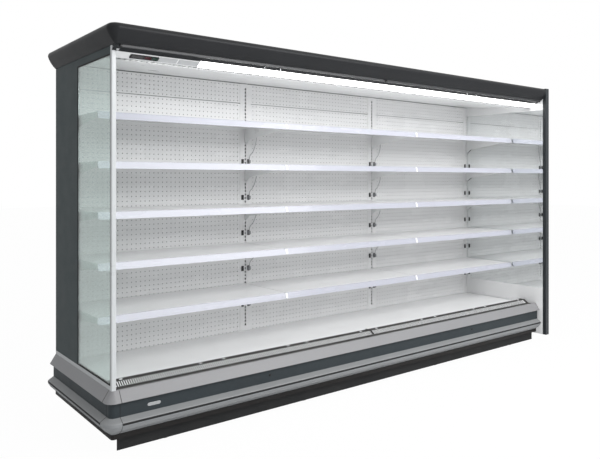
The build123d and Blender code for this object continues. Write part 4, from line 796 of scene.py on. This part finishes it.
# ---- Perforated back panels ----
# White coated steel sheets punched with a square pattern of small holes, which let cold air
# through; a tall lower and a short upper sheet in each bay, their edges behind the uprights.
PANEL_WHITE = (0.86, 0.865, 0.87, 1)
HOLE_PITCH = 0.030
HOLE_RADIUS = 0.0038
PANEL_EDGE = 0.020
PANEL_FACE = 0.485
PANEL_SHEET = 0.002
PANEL_HEIGHTS = [(0.304, 1.926), (1.930, 2.066)]

panel_white = material(
    "panel_white", powder, PANEL_WHITE, depth=0.0001, dirt=(0.05, 0.12),
    shade=0.02, roughness=0.26, spread=0.12,
)


def perforated_sheet(x0, x1, z0, z1):
    """Points and faces of a sheet with a true round hole, of eight sides, in each square cell."""
    columns = round((x1 - x0) / HOLE_PITCH)
    rows = round((z1 - z0) / HOLE_PITCH)
    half_x = (x1 - x0) / columns / 2
    half_z = (z1 - z0) / rows / 2
    ways = [(1, 0), (1, 1), (0, 1), (-1, 1), (-1, 0), (-1, -1), (0, -1), (1, -1)]
    numbers = {}
    points = []
    faces = []

    def point(key, x, z, face):
        if (key, face) not in numbers:
            numbers[key, face] = len(points)
            points.append(at(x, PANEL_FACE + face * PANEL_SHEET, z))
        return numbers[key, face]

    for column in range(columns):
        for row in range(rows):
            x = x0 + (2 * column + 1) * half_x
            z = z0 + (2 * row + 1) * half_z
            rims = []
            holes = []
            for face in (0, 1):
                rims.append([
                    point((2 * column + 1 + dx, 2 * row + 1 + dz), x + dx * half_x, z + dz * half_z, face)
                    for dx, dz in ways
                ])
                holes.append([
                    point(("hole", column, row, i), x + HOLE_RADIUS * math.cos(math.pi * i / 4),
                          z + HOLE_RADIUS * math.sin(math.pi * i / 4), face)
                    for i in range(8)
                ])
            for i in range(8):
                j = (i + 1) % 8
                faces.append((rims[0][i], rims[0][j], holes[0][j], holes[0][i]))
                faces.append((holes[1][i], holes[1][j], rims[1][j], rims[1][i]))
                faces.append((holes[0][j], holes[0][i], holes[1][i], holes[1][j]))
            edges = [
                (column == 0, (3, 4, 5)), (column == columns - 1, (7, 0, 1)),
                (row == 0, (5, 6, 7)), (row == rows - 1, (1, 2, 3)),
            ]
            for at_edge, wall in edges:
                if at_edge:
                    for i, j in zip(wall, wall[1:]):
                        faces.append((rims[0][j], rims[0][i], rims[1][i], rims[1][j]))
    return points, faces


for bay in range(BAYS):
    for level, (low, high) in zip(("lower", "upper"), PANEL_HEIGHTS):
        holed = perforated_sheet(BAY * bay + PANEL_EDGE, BAY * (bay + 1) - PANEL_EDGE, low, high)
        sheet = piece(f"perforated_panel_{level}_{bay + 1}", *holed, panel_white, slot="white_steel")
        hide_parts("back_panels")

# ---- Uprights ----
# White coated steel posts, rolled to a box and screwed to the rear wall's frame, with one column
# of punched slots for the shelf brackets' hooks.
UPRIGHT_WHITE = (0.84, 0.845, 0.85, 1)
upright_white = material(
    "upright_white", powder, UPRIGHT_WHITE, depth=0.0001, dirt=(0.05, 0.1), shade=0.02, roughness=0.33,
)
finish(upright_white, "uprights")

# ---- Lamp sockets on the uprights ----
# Black moulded sockets that snap in beside the uprights, one at each shelf level, each with a
# raised rim round its two contact slits.
SOCKET_BLACK = (0.014, 0.014, 0.015, 1)
SOCKET_SIZE = (0.017, 0.035)
SOCKET_FACE = 0.478
SOCKET_HEIGHTS = [0.503, 0.757, 1.010, 1.261, 1.515]
SOCKET_OFFSET = 0.025
RIM_OUTER = 0.002
RIM_INNER = 0.006
RIM_SEAT = 0.00005
RIM_PROUD = 0.0008
SLIT_SIZE = (0.006, 0.0025)
SLIT_HEIGHT = 0.006

socket_black = material(
    "socket_moulding", powder, SOCKET_BLACK, specular=0.35, shade=0.1, grain=2500.0, roughness=0.42,
)
finish(socket_black, "upright_sockets")


def rim(outer, inner, low, high, place):
    """Points and faces of a raised rim between two outlines with as many points."""
    count = len(outer)
    points = [place(a, b, out_by) for line in (outer, inner) for out_by in (low, high) for a, b in line]
    faces = []
    for i in range(count):
        j = (i + 1) % count
        faces.append((i, j, count + j, count + i))
        faces.append((2 * count + j, 2 * count + i, 3 * count + i, 3 * count + j))
        faces.append((count + i, count + j, 3 * count + j, 3 * count + i))
        faces.append((j, i, 2 * count + i, 2 * count + j))
    return points, faces


rim_outer = rounded_outline(SOCKET_SIZE[0] - RIM_OUTER, SOCKET_SIZE[1] - RIM_OUTER, 0.002, 3)
rim_inner = rounded_outline(SOCKET_SIZE[0] - RIM_INNER, SOCKET_SIZE[1] - RIM_INNER, 0.0015, 3)
socket_rims = []
for upright in range(BAYS + 1):
    for side in (-1, 1):
        x = BAY * upright + side * SOCKET_OFFSET
        if 0 < x < RUN:
            for z in SOCKET_HEIGHTS:
                place = on_face(x, SOCKET_FACE, z)
                socket_rims.append(rim(rim_outer, rim_inner, RIM_SEAT, RIM_PROUD, place))
                for slit in (-SLIT_HEIGHT, SLIT_HEIGHT):
                    outline = [(a, b + slit) for a, b in rounded_outline(*SLIT_SIZE, 0.001, 2)]
                    socket_rims.append(dome(outline, RIM_SEAT, RIM_PROUD, place, shrink=0.9))
piece("socket_rims", *joined(socket_rims), socket_black, slot="black_plastic")

# ---- Shelf trays and brackets ----
# Folded steel trays in white powder coat, each carried by two plasma-cut steel brackets that
# hook into the uprights.
SHELF_WHITE = (0.86, 0.865, 0.87, 1)
LEVELS = 5
shelf_white = material(
    "shelf_white", powder, SHELF_WHITE, depth=0.0001, dirt=(0.06, 0.12),
    shade=0.02, grain=1000.0, roughness=0.3,
)
trays = [f"shelf_trays_{level}" for level in range(1, LEVELS + 1)]
finish(shelf_white, *trays, "shelf_brackets")
shelf_tops = [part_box(tray)[1].z for tray in trays]

# ---- Price rails ----
# Extruded plastic rails in a bluish gloss white, snapped on the trays' front rims; a small
# moulded clip bridges the joint between two bays.
RAIL_WHITE = (0.43, 0.44, 0.50, 1)
RAIL_LIP = 0.001
RAIL_HEIGHT = 0.039
RAIL_HEAD = -0.003
RAIL_FOOT = -0.015
RAIL_CLIP_WIDTH = 0.016
RAIL_CLIP_PROUD = 0.002
RAIL_CLIP_SHARES = (0.92, 0.08)
LIP_HEIGHT = 0.0022
LIP_PROUD = 0.0012
BAND_SEAT = 0.00005

rail_white = material(
    "price_rail_gloss", powder, RAIL_WHITE, depth=0.00003, shader={"Coat Weight": 0.15}, dirt=(0.03, 0.08),
    shade=0.015, grain=2500.0, roughness=0.26, spread=0.06,
)
finish(rail_white, "price_rails")
rail_clip_white = material("rail_clip_moulding", powder, SHELF_WHITE, shade=0.02, grain=2500.0, roughness=0.3)


def rail_band(top, low_share, high_share, proud):
    """(y, z) section of a band on a price rail's face, between two shares of its height."""
    high = top + RAIL_LIP
    run_y = RAIL_FOOT - RAIL_HEAD
    out_by = -RAIL_HEIGHT / math.hypot(run_y, RAIL_HEIGHT) * proud
    ends = [(RAIL_HEAD + run_y * share, high - RAIL_HEIGHT * share) for share in (high_share, low_share)]
    near = [(y - BAND_SEAT, z) for y, z in ends]
    return [near[0], (ends[0][0] + out_by, ends[0][1]), (ends[1][0] + out_by, ends[1][1]), near[1]]


clip_rings = []
lip_rings = []
half = RAIL_CLIP_WIDTH / 2
lip_share = LIP_HEIGHT / RAIL_HEIGHT
for top in shelf_tops:
    for bay in range(BAYS):
        left = BAY * bay + BRACKET_ROOM
        right = BAY * (bay + 1) - BRACKET_ROOM
        lip_rings.append(along_run(rail_band(top, lip_share, 0.0, LIP_PROUD), left, right))
        lip_rings.append(along_run(rail_band(top, 1.0, 1 - lip_share, LIP_PROUD), left, right))
        if bay:
            clip_band = rail_band(top, *RAIL_CLIP_SHARES, RAIL_CLIP_PROUD)
            clip_rings.append(along_run(clip_band, BAY * bay - half, BAY * bay + half))
piece("price_rail_lips", *prism(lip_rings), rail_white, slot="price_rail")
piece("price_rail_clips", *prism(clip_rings), rail_clip_white, slot="price_rail")

# ---- Shelf leads ----
# A short grey lead with a moulded plug goes from the socket right of each middle upright up to
# the shelf above, where it enters the tray's wiring; it bows out sideways under its own weight.
LEAD_GREY = (0.42, 0.43, 0.44, 1)
PLUG_GREY = (0.30, 0.31, 0.32, 1)
LEAD_DIAMETER = 0.0045
LEAD_LENGTHS = [0.150, 0.181, 0.202, 0.223, 0.236]
LEAD_LOW = [(0.0, 0.009, 0.013), (0.0, 0.009, 0.031), (0.007, 0.012, 0.050), (0.025, 0.017, 0.066)]
LEAD_MIDDLE = [(0.046, 0.021, 0.35), (0.057, 0.019, 0.7)]
LEAD_END = (0.057, 0.019)
TRAY_SHEET = 0.002
PLUG_SIZE = (0.014, 0.026)
PLUG_DEPTH = 0.018

lead_grey = material("lead_sheath", powder, LEAD_GREY, shade=0.05, grain=1500.0, roughness=0.45)
plug_grey = material("plug_moulding", powder, PLUG_GREY, shade=0.05, grain=2000.0)


def lead_route(x, socket, top):
    """The lead's points from the top of its plug to the underside of the tray."""
    under = top - TRAY_SHEET
    route = [(x + side, SOCKET_FACE - ahead, socket + up) for side, ahead, up in LEAD_LOW]
    rise = under - route[-1][2]
    for side, ahead, part in LEAD_MIDDLE:
        route.append((x + side, SOCKET_FACE - ahead, under - rise * (1 - part)))
    route.append((x + LEAD_END[0], SOCKET_FACE - LEAD_END[1], under))
    return [at(*point) for point in route]


def lead_curve(name, route):
    """A round lead along one smooth spline through its route."""
    line = bpy.data.curves.new(name, "CURVE")
    line.dimensions = "3D"
    line.bevel_depth = LEAD_DIAMETER / 2
    line.bevel_resolution = 4
    line.resolution_u = 12
    spline = line.splines.new("NURBS")
    spline.points.add(len(route) - 1)
    for control, point in zip(spline.points, route):
        control.co = (*point, 1)
    spline.order_u = 3
    spline.use_endpoint_u = True
    line.materials.append(lead_grey)
    return placed(name, line)


plug_outline = rounded_outline(*PLUG_SIZE, 0.003, 4)
for upright in range(1, BAYS):
    x = BAY * upright + SOCKET_OFFSET
    for level, (z, top, length) in enumerate(zip(SOCKET_HEIGHTS, shelf_tops, LEAD_LENGTHS), start=1):
        plug_body = dome(plug_outline, 0.0, PLUG_DEPTH, on_face(x, SOCKET_FACE, z), shrink=0.86)
        plug = piece(f"lead_plug_{upright}_{level}", *plug_body, plug_grey, slot="lead_grey")
        bevel(plug, 0.0008)
        route = lead_route(x, z, top)
        lead = lead_curve(f"shelf_lead_{upright}_{level}", route)
        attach(lead, "cabinet")
        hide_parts("shelf_leads")

# ---- Left end: frame and post ----
# A sandwich frame in anthracite coated sheet, solid at the rear and screwed to the tub and the
# roof, with a pale coated steel post at the front.
FRAME_DARK = (0.038, 0.051, 0.054, 1)
POST_WHITE = (0.56, 0.58, 0.59, 1)
frame_dark = material(
    "end_frame_anthracite", powder, FRAME_DARK, specular=0.12, dirt=(0.08, 0.15),
    shade=0.12, roughness=0.45, spread=0.12,
)
finish(frame_dark, "left_end_frame")
post_white = material(
    "post_coating", powder, POST_WHITE, depth=0.0001, dirt=(0.04, 0.1),
    shade=0.03, grain=1200.0, roughness=0.3,
)
finish(post_white, "front_post")

# ---- Left end: double glazing ----
# Two clear panes with a faint green tint, kept apart by an aluminium spacer round their edge and
# sealed with black gaskets; they stand in a grooved aluminium profile.
GLASS_TINT = (0.79, 0.85, 0.835, 1)
PROFILE_SILVER = (0.48, 0.49, 0.50, 1)
PANE = 0.004
SPACER_WIDTH = 0.009
SPACER_ROOM = 0.0005
GASKET_WIDTH = 0.007
GASKET_ROOM = 0.0003
GASKET_SUNK = 0.0004
LEFT_FACE = -0.018
LEFT_INNER = -0.002

smudge, given, out = effect("glass smudges", {
    "Colour": (1.0, 1.0, 1.0, 1), "Shade": 0.02, "Patches": 5.0, "Roughness": 0.02, "Spread": 0.02,
})
given = given.outputs
patches = noise(smudge, object_place(smudge), given["Patches"], 4.0)
smudge.links.new(shaded(smudge, given["Colour"], patches, given["Shade"]), out.inputs["Colour"])
greasy = maths(smudge, "MAXIMUM", maths(smudge, "SUBTRACT", patches, 0.5), 0.0)
smear = maths(smudge, "MULTIPLY", greasy, given["Spread"])
smudge.links.new(maths(smudge, "ADD", smear, given["Roughness"]), out.inputs["Roughness"])
smudge.links.new(patches, out.inputs["Height"])

pane_glass = material(
    "pane_glass", smudge, GLASS_TINT, depth=0.00001, shader={"Transmission Weight": 1.0, "IOR": 1.38},
    shade=0.01, roughness=0.005, spread=0.04,
)
tree = pane_glass.node_tree
clear = tree.nodes.new("ShaderNodeBsdfTransparent")
clear.inputs["Color"].default_value = GLASS_TINT
in_shadow = tree.nodes.new("ShaderNodeLightPath").outputs["Is Shadow Ray"]
show_mix(tree, in_shadow, tree.nodes["Principled BSDF"].outputs[0], clear.outputs[0])
finish(pane_glass, "end_glass")

brushed, given, out = effect("brushed metal", {
    "Colour": (0.5, 0.5, 0.5, 1), "Shade": 0.08, "Lay": Vector((2.0, 300.0, 300.0)),
    "Roughness": 0.3, "Spread": 0.12,
})
lines = noise(brushed, stretched(brushed, given.outputs["Lay"]), 2.0, 3.0)
put_out(brushed, given, out, lines, lines)

profile_silver = material(
    "satin_anodised_profile", brushed, PROFILE_SILVER, depth=0.00003, metallic=0.9, dirt=(0.1, 0.1),
    lay=(300.0, 2.0, 300.0), roughness=0.34,
)
finish(profile_silver, "glass_profile")


def end_ring(x0, x1, y0, y1, z0, z1, width):
    """Points and faces of a rectangular ring in the plane of the left end."""
    outer = [(y0, z0), (y1, z0), (y1, z1), (y0, z1)]
    y0, y1, z0, z1 = y0 + width, y1 - width, z0 + width, z1 - width
    inner = [(y0, z0), (y1, z0), (y1, z1), (y0, z1)]
    return rim(outer, inner, x0, x1, lambda y, z, x: at(x, y, z))


pane_low, pane_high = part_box("end_glass")
pane_y0 = pane_low.y - shelf_front
pane_y1 = pane_high.y - shelf_front
outer_face = pane_low.x - run_left
inner_face = pane_high.x - run_left
spacer = end_ring(
    outer_face + PANE + HAIR, inner_face - PANE - HAIR, pane_y0 + SPACER_ROOM, pane_y1 - SPACER_ROOM,
    pane_low.z + SPACER_ROOM, pane_high.z - SPACER_ROOM, SPACER_WIDTH,
)
piece("pane_spacer", *spacer, profile_silver, slot="profile_silver")
profile_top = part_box("glass_profile")[1].z
for ring_name, x0, x1 in (
    ("outer", LEFT_FACE + GASKET_SUNK, outer_face - HAIR),
    ("inner", inner_face + HAIR, LEFT_INNER - GASKET_SUNK),
):
    ring = end_ring(
        x0, x1, pane_y0 + GASKET_ROOM, pane_y1 - GASKET_ROOM,
        profile_top + GASKET_ROOM, pane_high.z - GASKET_ROOM, GASKET_WIDTH,
    )
    piece(f"pane_gasket_{ring_name}", *ring, rubber, slot="black_plastic")

# ---- Right end ----
# A thick insulated panel in anthracite sheet with a folded front trim; inside, a white liner and
# a polished mirror sheet that doubles the view of the shelves.
PANEL_DARK = (0.022, 0.026, 0.030, 1)
MIRROR_SILVER = (0.86, 0.88, 0.88, 1)
panel_dark = material(
    "end_panel_anthracite", powder, PANEL_DARK, specular=0.3, dirt=(0.1, 0.15),
    shade=0.1, roughness=0.42, spread=0.12,
)
finish(panel_dark, "right_end_panel", "right_end_trim")
liner_white = material(
    "liner_white", powder, PANEL_WHITE, depth=0.0001, dirt=(0.05, 0.1), shade=0.02, roughness=0.3,
)
finish(liner_white, "right_end_liner")
mirror = material(
    "mirror_sheet", smudge, MIRROR_SILVER, depth=0.00001, metallic=1.0,
    shade=0.01, roughness=0.02, spread=0.1,
)
finish(mirror, "right_mirror")

# ---- Roof and canopy ----
# A foamed roof carries a nosed canopy of rolled anthracite profile on the front and the side,
# with a mitred corner piece; behind the blind slot lies a dark folded lip.
CANOPY_DARK = (0.019, 0.020, 0.022, 1)
LIP_DARK = (0.014, 0.016, 0.018, 1)
finish(panel_skin, "roof_panel")
canopy_dark = material(
    "canopy_anthracite", powder, CANOPY_DARK, specular=0.11, dirt=(0.1, 0.15),
    shade=0.12, roughness=0.32, spread=0.12,
)
finish(canopy_dark, "canopy_front", "canopy_side", "canopy_corner")
lip_dark = material("canopy_lip_black", powder, LIP_DARK, specular=0.25, shade=0.1, roughness=0.45)
finish(lip_dark, "canopy_lip")

# ---- Clip at the post's top ----
# A small pale moulded wedge beside the post, pushed on the lip's slope, that keeps the blind's edge
# off the post.
CLIP_PALE = (0.50, 0.51, 0.52, 1)
CLIP_TOP = (-0.2635, 2.0605)
CLIP_FOOT = (-0.2445, 2.0390)
CLIP_HIGH = (-0.004, 0.021)
CLIP_LOW = (0.004, 0.014)
CLIP_SEAT = 0.0002
CLIP_DEPTH = 0.004

clip_pale = material("pale_clip_moulding", powder, CLIP_PALE, shade=0.05, grain=2500.0, roughness=0.3)
clip_length = math.dist(CLIP_TOP, CLIP_FOOT)
clip_out = ((CLIP_FOOT[1] - CLIP_TOP[1]) / clip_length, -(CLIP_FOOT[0] - CLIP_TOP[0]) / clip_length)
clip_corners = [(x, CLIP_TOP) for x in CLIP_HIGH] + [(x, CLIP_FOOT) for x in reversed(CLIP_LOW)]
clip_pair = tuple(
    [at(x, y + clip_out[0] * out_by, z + clip_out[1] * out_by) for x, (y, z) in clip_corners]
    for out_by in (CLIP_SEAT, CLIP_DEPTH)
)
bevel(piece("post_clip", *prism([clip_pair]), clip_pale, slot="post_white"), 0.001)

# ---- Control strip and its cover plates ----
# White coated steel strip, folded and screwed under the canopy; its service openings are closed
# by bare grey plates with a screw at each end.
STRIP_FRONT = (-0.243, 2.0358)
STRIP_BACK = (-0.200, 2.0110)
COVER_PLATES = [(0.246, 0.352), (0.360, 0.482)]
COVER_GREY = (0.56, 0.57, 0.58, 1)
COVER_WIDTH = 0.036
COVER_SHEET = 0.0012
COVER_SCREW = 0.0028
COVER_SCREW_SEAT = COVER_SHEET + 0.00005
COVER_SCREW_CROWN = COVER_SHEET + 0.0012
COVER_SCREW_MARGIN = 0.009

fascia_white = material("fascia_white", powder, PANEL_WHITE, depth=0.0001, shade=0.02, roughness=0.3)
finish(fascia_white, "control_fascia")
cover_grey = material("cover_plate_grey", powder, COVER_GREY, depth=0.0001, shade=0.03, roughness=0.32)
strip_length = math.dist(STRIP_FRONT, STRIP_BACK)
strip_across = [(back - front) / strip_length for front, back in zip(STRIP_FRONT, STRIP_BACK)]


def on_strip(x):
    """A place on the strip's outer face from (along, across from its middle, out)."""
    def place(along, across, out_by):
        y = (STRIP_FRONT[0] + STRIP_BACK[0]) / 2 + strip_across[0] * across + strip_across[1] * out_by
        z = (STRIP_FRONT[1] + STRIP_BACK[1]) / 2 + strip_across[1] * across - strip_across[0] * out_by
        return at(x + along, y, z)
    return place


for number, (left, right) in enumerate(COVER_PLATES, start=1):
    plate = rounded_outline(right - left, COVER_WIDTH, 0.003, 4)
    parts = [dome(plate, HAIR, COVER_SHEET, on_strip((left + right) / 2), shrink=0.985)]
    for screw_x in (left + COVER_SCREW_MARGIN, right - COVER_SCREW_MARGIN):
        parts.append(dome(
            disc(COVER_SCREW, 3), COVER_SCREW_SEAT, COVER_SCREW_CROWN, on_strip(screw_x), shrink=0.5,
        ))
    piece(f"strip_cover_plate_{number}", *joined(parts), cover_grey, slot="white_steel")

# ---- Lamp diffuser ----
# Extruded cover of the canopy lamp in opal acrylic, snapped into the strip's rear edge; the lamp
# behind it makes the whole cover glow white.
OPAL = (0.93, 0.94, 0.95, 1)
LAMP_COLOUR = (1.0, 0.99, 0.97, 1)
LAMP_STRENGTH = 6.5
opal = material(
    "opal_diffuser", powder, OPAL, depth=0.00002, shade=0.01, grain=2000.0, roughness=0.3,
    shader={"Emission Color": LAMP_COLOUR, "Emission Strength": LAMP_STRENGTH},
)
finish(opal, "lamp_diffuser")

# ---- Air discharge and ceiling ----
# Moulded honeycomb, which straightens the cold air, pushed into the front of a white coated
# ceiling sheet that rises to the back panels.
HONEYCOMB_WHITE = (0.74, 0.75, 0.75, 1)
honeycomb_white = material("honeycomb_moulding", powder, HONEYCOMB_WHITE, grain=1500.0, roughness=0.5)
finish(honeycomb_white, "honeycomb_outlet")
finish(liner_white, "ceiling_liner")

# ---- Control unit ----
# Black moulded faceplate, clipped into the control strip from below, with a dark glossy display
# window and two rocker switches.
UNIT_BLACK = (0.012, 0.012, 0.013, 1)
WINDOW_BLACK = (0.008, 0.006, 0.007, 1)
ROCKER_RED = (0.060, 0.006, 0.010, 1)
ROCKER_GREEN = (0.008, 0.035, 0.022, 1)
WINDOW_LEFT = 0.094
WINDOW_SIZE = (0.0658, 0.0218)
WINDOW_FLOOR = 0.00125
WINDOW_FACE = 0.0018

unit_black = material("control_moulding", powder, UNIT_BLACK, specular=0.35, shade=0.1, grain=2500.0)
finish(unit_black, "display_controller")
window_black = material(
    "display_window", smudge, WINDOW_BLACK, depth=0.00001, shader={"Coat Weight": 0.6},
    roughness=0.06, spread=0.05,
)
window_place = on_strip(WINDOW_LEFT + WINDOW_SIZE[0] / 2)
window = dome(rounded_outline(*WINDOW_SIZE, 0.002, 4), WINDOW_FLOOR, WINDOW_FACE, window_place, shrink=0.985)
piece("display_window", *window, window_black, slot="black_plastic")
rocker_red = material("rocker_red", powder, ROCKER_RED, shade=0.05, grain=3000.0, roughness=0.22)
finish(rocker_red, "power_switch")
rocker_green = material("rocker_green", powder, ROCKER_GREEN, shade=0.05, grain=3000.0, roughness=0.22)
finish(rocker_green, "light_switch")

# ---- Night blinds: sprung rollers ----
# Each blind winds on a thin plated steel tube. The pins at its ends turn in two sheet brackets,
# which are fixed behind the canopy's lip.
TUBE_RADIUS = 0.0137
PIN_RADIUS = 0.004
PIN_TURN = 0.0005
PIN_END = 0.001
ROLL_Y = -0.2637
ROLL_Z = 2.098
SIDES = {"left": (0.008, 1.871), "right": (1.883, 3.746)}
BRACKET_SHEET = 0.003
ROLL_END_GAP = 0.005
TURN_STEPS = 24


def turned(profile):
    """Points and faces of a round piece along the roller's axis, from (x, radius) points."""
    points = []
    faces = []
    for x, radius in profile:
        for step in range(TURN_STEPS):
            turn = 2 * math.pi * step / TURN_STEPS
            points.append(at(x, ROLL_Y + radius * math.cos(turn), ROLL_Z + radius * math.sin(turn)))
    for ring_number in range(len(profile) - 1):
        for step in range(TURN_STEPS):
            a = ring_number * TURN_STEPS + step
            b = ring_number * TURN_STEPS + (step + 1) % TURN_STEPS
            faces.append((a, b, b + TURN_STEPS, a + TURN_STEPS))
    faces.append(tuple(range(TURN_STEPS)))
    faces.append(tuple(range((len(profile) - 1) * TURN_STEPS, len(profile) * TURN_STEPS)))
    return points, faces


for side_name, (left, right) in SIDES.items():
    tube_left = left + BRACKET_SHEET + ROLL_END_GAP
    tube_right = right - BRACKET_SHEET - ROLL_END_GAP
    pin_left = left - PIN_END
    pin_right = right + PIN_END
    profile = [
        (pin_left, PIN_RADIUS - PIN_TURN), (pin_left + PIN_TURN, PIN_RADIUS), (tube_left, PIN_RADIUS),
        (tube_left, TUBE_RADIUS - PIN_TURN), (tube_left + PIN_TURN, TUBE_RADIUS),
        (tube_right - PIN_TURN, TUBE_RADIUS), (tube_right, TUBE_RADIUS - PIN_TURN),
        (tube_right, PIN_RADIUS), (pin_right - PIN_TURN, PIN_RADIUS), (pin_right, PIN_RADIUS - PIN_TURN),
    ]
    body = f"blind_roller_{side_name}"
    roller = piece(f"roller_tube_{side_name}", *turned(profile), plated, body=body, slot="zinc_steel")
    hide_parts(body)

# ---- Night blinds: fabric ----
# Woven reflective fabric, wound on the tube and led straight down to the pull bar through the
# canopy's slot; it unwinds as the bar is pulled down.
FABRIC_GREY = (0.40, 0.41, 0.42, 1)
FABRIC_TURNS = 15
FABRIC_INNER = 0.0143
FABRIC_OUTER = 0.0233
FABRIC_LINE = -0.2873
FABRIC_INSET = 0.014
FABRIC_COLUMNS = 6
BAR_TOP = 2.061
BLEND_LEAD = 0.006
BLEND_START = 2.0745
BLEND_END = 2.0615
BLEND_ROWS = 24
WOVEN_PITCH = 1100.0

weave, given, out = effect("plain weave", {
    "Colour": (0.5, 0.5, 0.5, 1), "Shade": 0.1, "Threads": 1000.0, "Roughness": 0.6, "Spread": 0.1,
})
place_of = parted(weave, object_place(weave))
threads = given.outputs["Threads"]
warp = maths(weave, "SINE", maths(weave, "MULTIPLY", place_of["X"], threads), 0.0)
weft = maths(weave, "SINE", maths(weave, "MULTIPLY", place_of["Z"], threads), 0.0)
crossing = maths(weave, "ADD", maths(weave, "MULTIPLY", maths(weave, "MULTIPLY", warp, weft), 0.5), 0.5)
put_out(weave, given, out, crossing, crossing)

fabric_grey = material(
    "blind_weave", weave, FABRIC_GREY, metallic=0.15, shade=0.1, threads=WOVEN_PITCH, roughness=0.55,
)


def fabric_line():
    """(y, z) points of the fabric from its inner end on the tube down to the pull bar."""
    line = []
    steps = FABRIC_TURNS * TURN_STEPS
    for step in range(steps + 1):
        turn = math.pi - 2 * math.pi * (steps - step) / TURN_STEPS
        radius = FABRIC_INNER + (FABRIC_OUTER - FABRIC_INNER) * step / steps
        line.append((ROLL_Y + radius * math.cos(turn), ROLL_Z + radius * math.sin(turn)))
    line.append((FABRIC_LINE, BLEND_START + BLEND_LEAD))
    for step in range(BLEND_ROWS + 1):
        line.append((FABRIC_LINE, BLEND_START + (BLEND_END - BLEND_START) * step / BLEND_ROWS))
    line.append((FABRIC_LINE, BAR_TOP))
    return line


line = fabric_line()
for side_name, (left, right) in SIDES.items():
    x0 = left + FABRIC_INSET
    x1 = right - FABRIC_INSET
    xs = [x0 + (x1 - x0) * column / FABRIC_COLUMNS for column in range(FABRIC_COLUMNS + 1)]
    points = [at(x, y, z) for y, z in line for x in xs]
    faces = []
    for row in range(len(line) - 1):
        for column in range(FABRIC_COLUMNS):
            a = row * (FABRIC_COLUMNS + 1) + column
            faces.append((a, a + 1, a + FABRIC_COLUMNS + 2, a + FABRIC_COLUMNS + 1))
    mesh = bpy.data.meshes.new(f"blind_cloth_{side_name}")
    mesh.from_pydata([tuple(p) for p in points], [], faces)
    mesh.polygons.foreach_set("use_smooth", [True] * len(mesh.polygons))
    mesh.materials.append(fabric_grey)
    cloth = placed(f"blind_cloth_{side_name}", mesh)
    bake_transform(cloth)
    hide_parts(f"blind_fabric_{side_name}")

# ---- Night blinds: pull bars and wire bows ----
# Dark anodised bars with black moulded end caps, each with a plated wire bow to pull it by. The
# bow's ends turn inwards into two drilled ears under the bar, so it can swing.
BAR_DARK = (0.040, 0.041, 0.044, 1)
WIRE_CHROME = (0.74, 0.75, 0.76, 1)
BAR_Y = -0.287
BAR_SIZE = (0.010, 0.012)
BAR_MIDDLE_Z = 2.055
END_CAP_LENGTH = 0.008
END_CAP_OVER = 0.0010
END_CAP_PROUD = 0.0012

bar_dark = material(
    "pull_bar_anodised", brushed, BAR_DARK, depth=0.00003, metallic=0.3, dirt=(0.1, 0.1),
    lay=(2.0, 400.0, 400.0), roughness=0.45,
)
finish(bar_dark, "blind_bar_left", "blind_bar_right")
wire_chrome = material(
    "plated_wire", brushed, WIRE_CHROME, depth=0.00001, metallic=1.0, shade=0.03, roughness=0.14, spread=0.05,
)
finish(wire_chrome, "wire_bow_left", "wire_bow_right")


def on_bar(y, z, x):
    """A point from (back, up) round the pull bar's middle and along the run."""
    return at(x, BAR_Y + y, BAR_MIDDLE_Z + z)


cap_outer = rounded_outline(BAR_SIZE[0] + END_CAP_OVER, BAR_SIZE[1] + END_CAP_OVER, 0.0024, 4)
cap_inner = rounded_outline(BAR_SIZE[0] + HAIR, BAR_SIZE[1] + HAIR, 0.002, 4)
for side_name, (left, right) in SIDES.items():
    parts = []
    for start, stop, face, out_by in (
        (left, left + END_CAP_LENGTH, left, -END_CAP_PROUD),
        (right - END_CAP_LENGTH, right, right, END_CAP_PROUD),
    ):
        parts.append(rim(cap_outer, cap_inner, start, stop, on_bar))
        parts.append(dome(cap_outer, face + out_by * 0.04, face + out_by, on_bar, shrink=0.85))
    body = f"blind_bar_{side_name}"
    piece(f"bar_end_caps_{side_name}", *joined(parts), unit_black, body=body, slot="black_plastic")
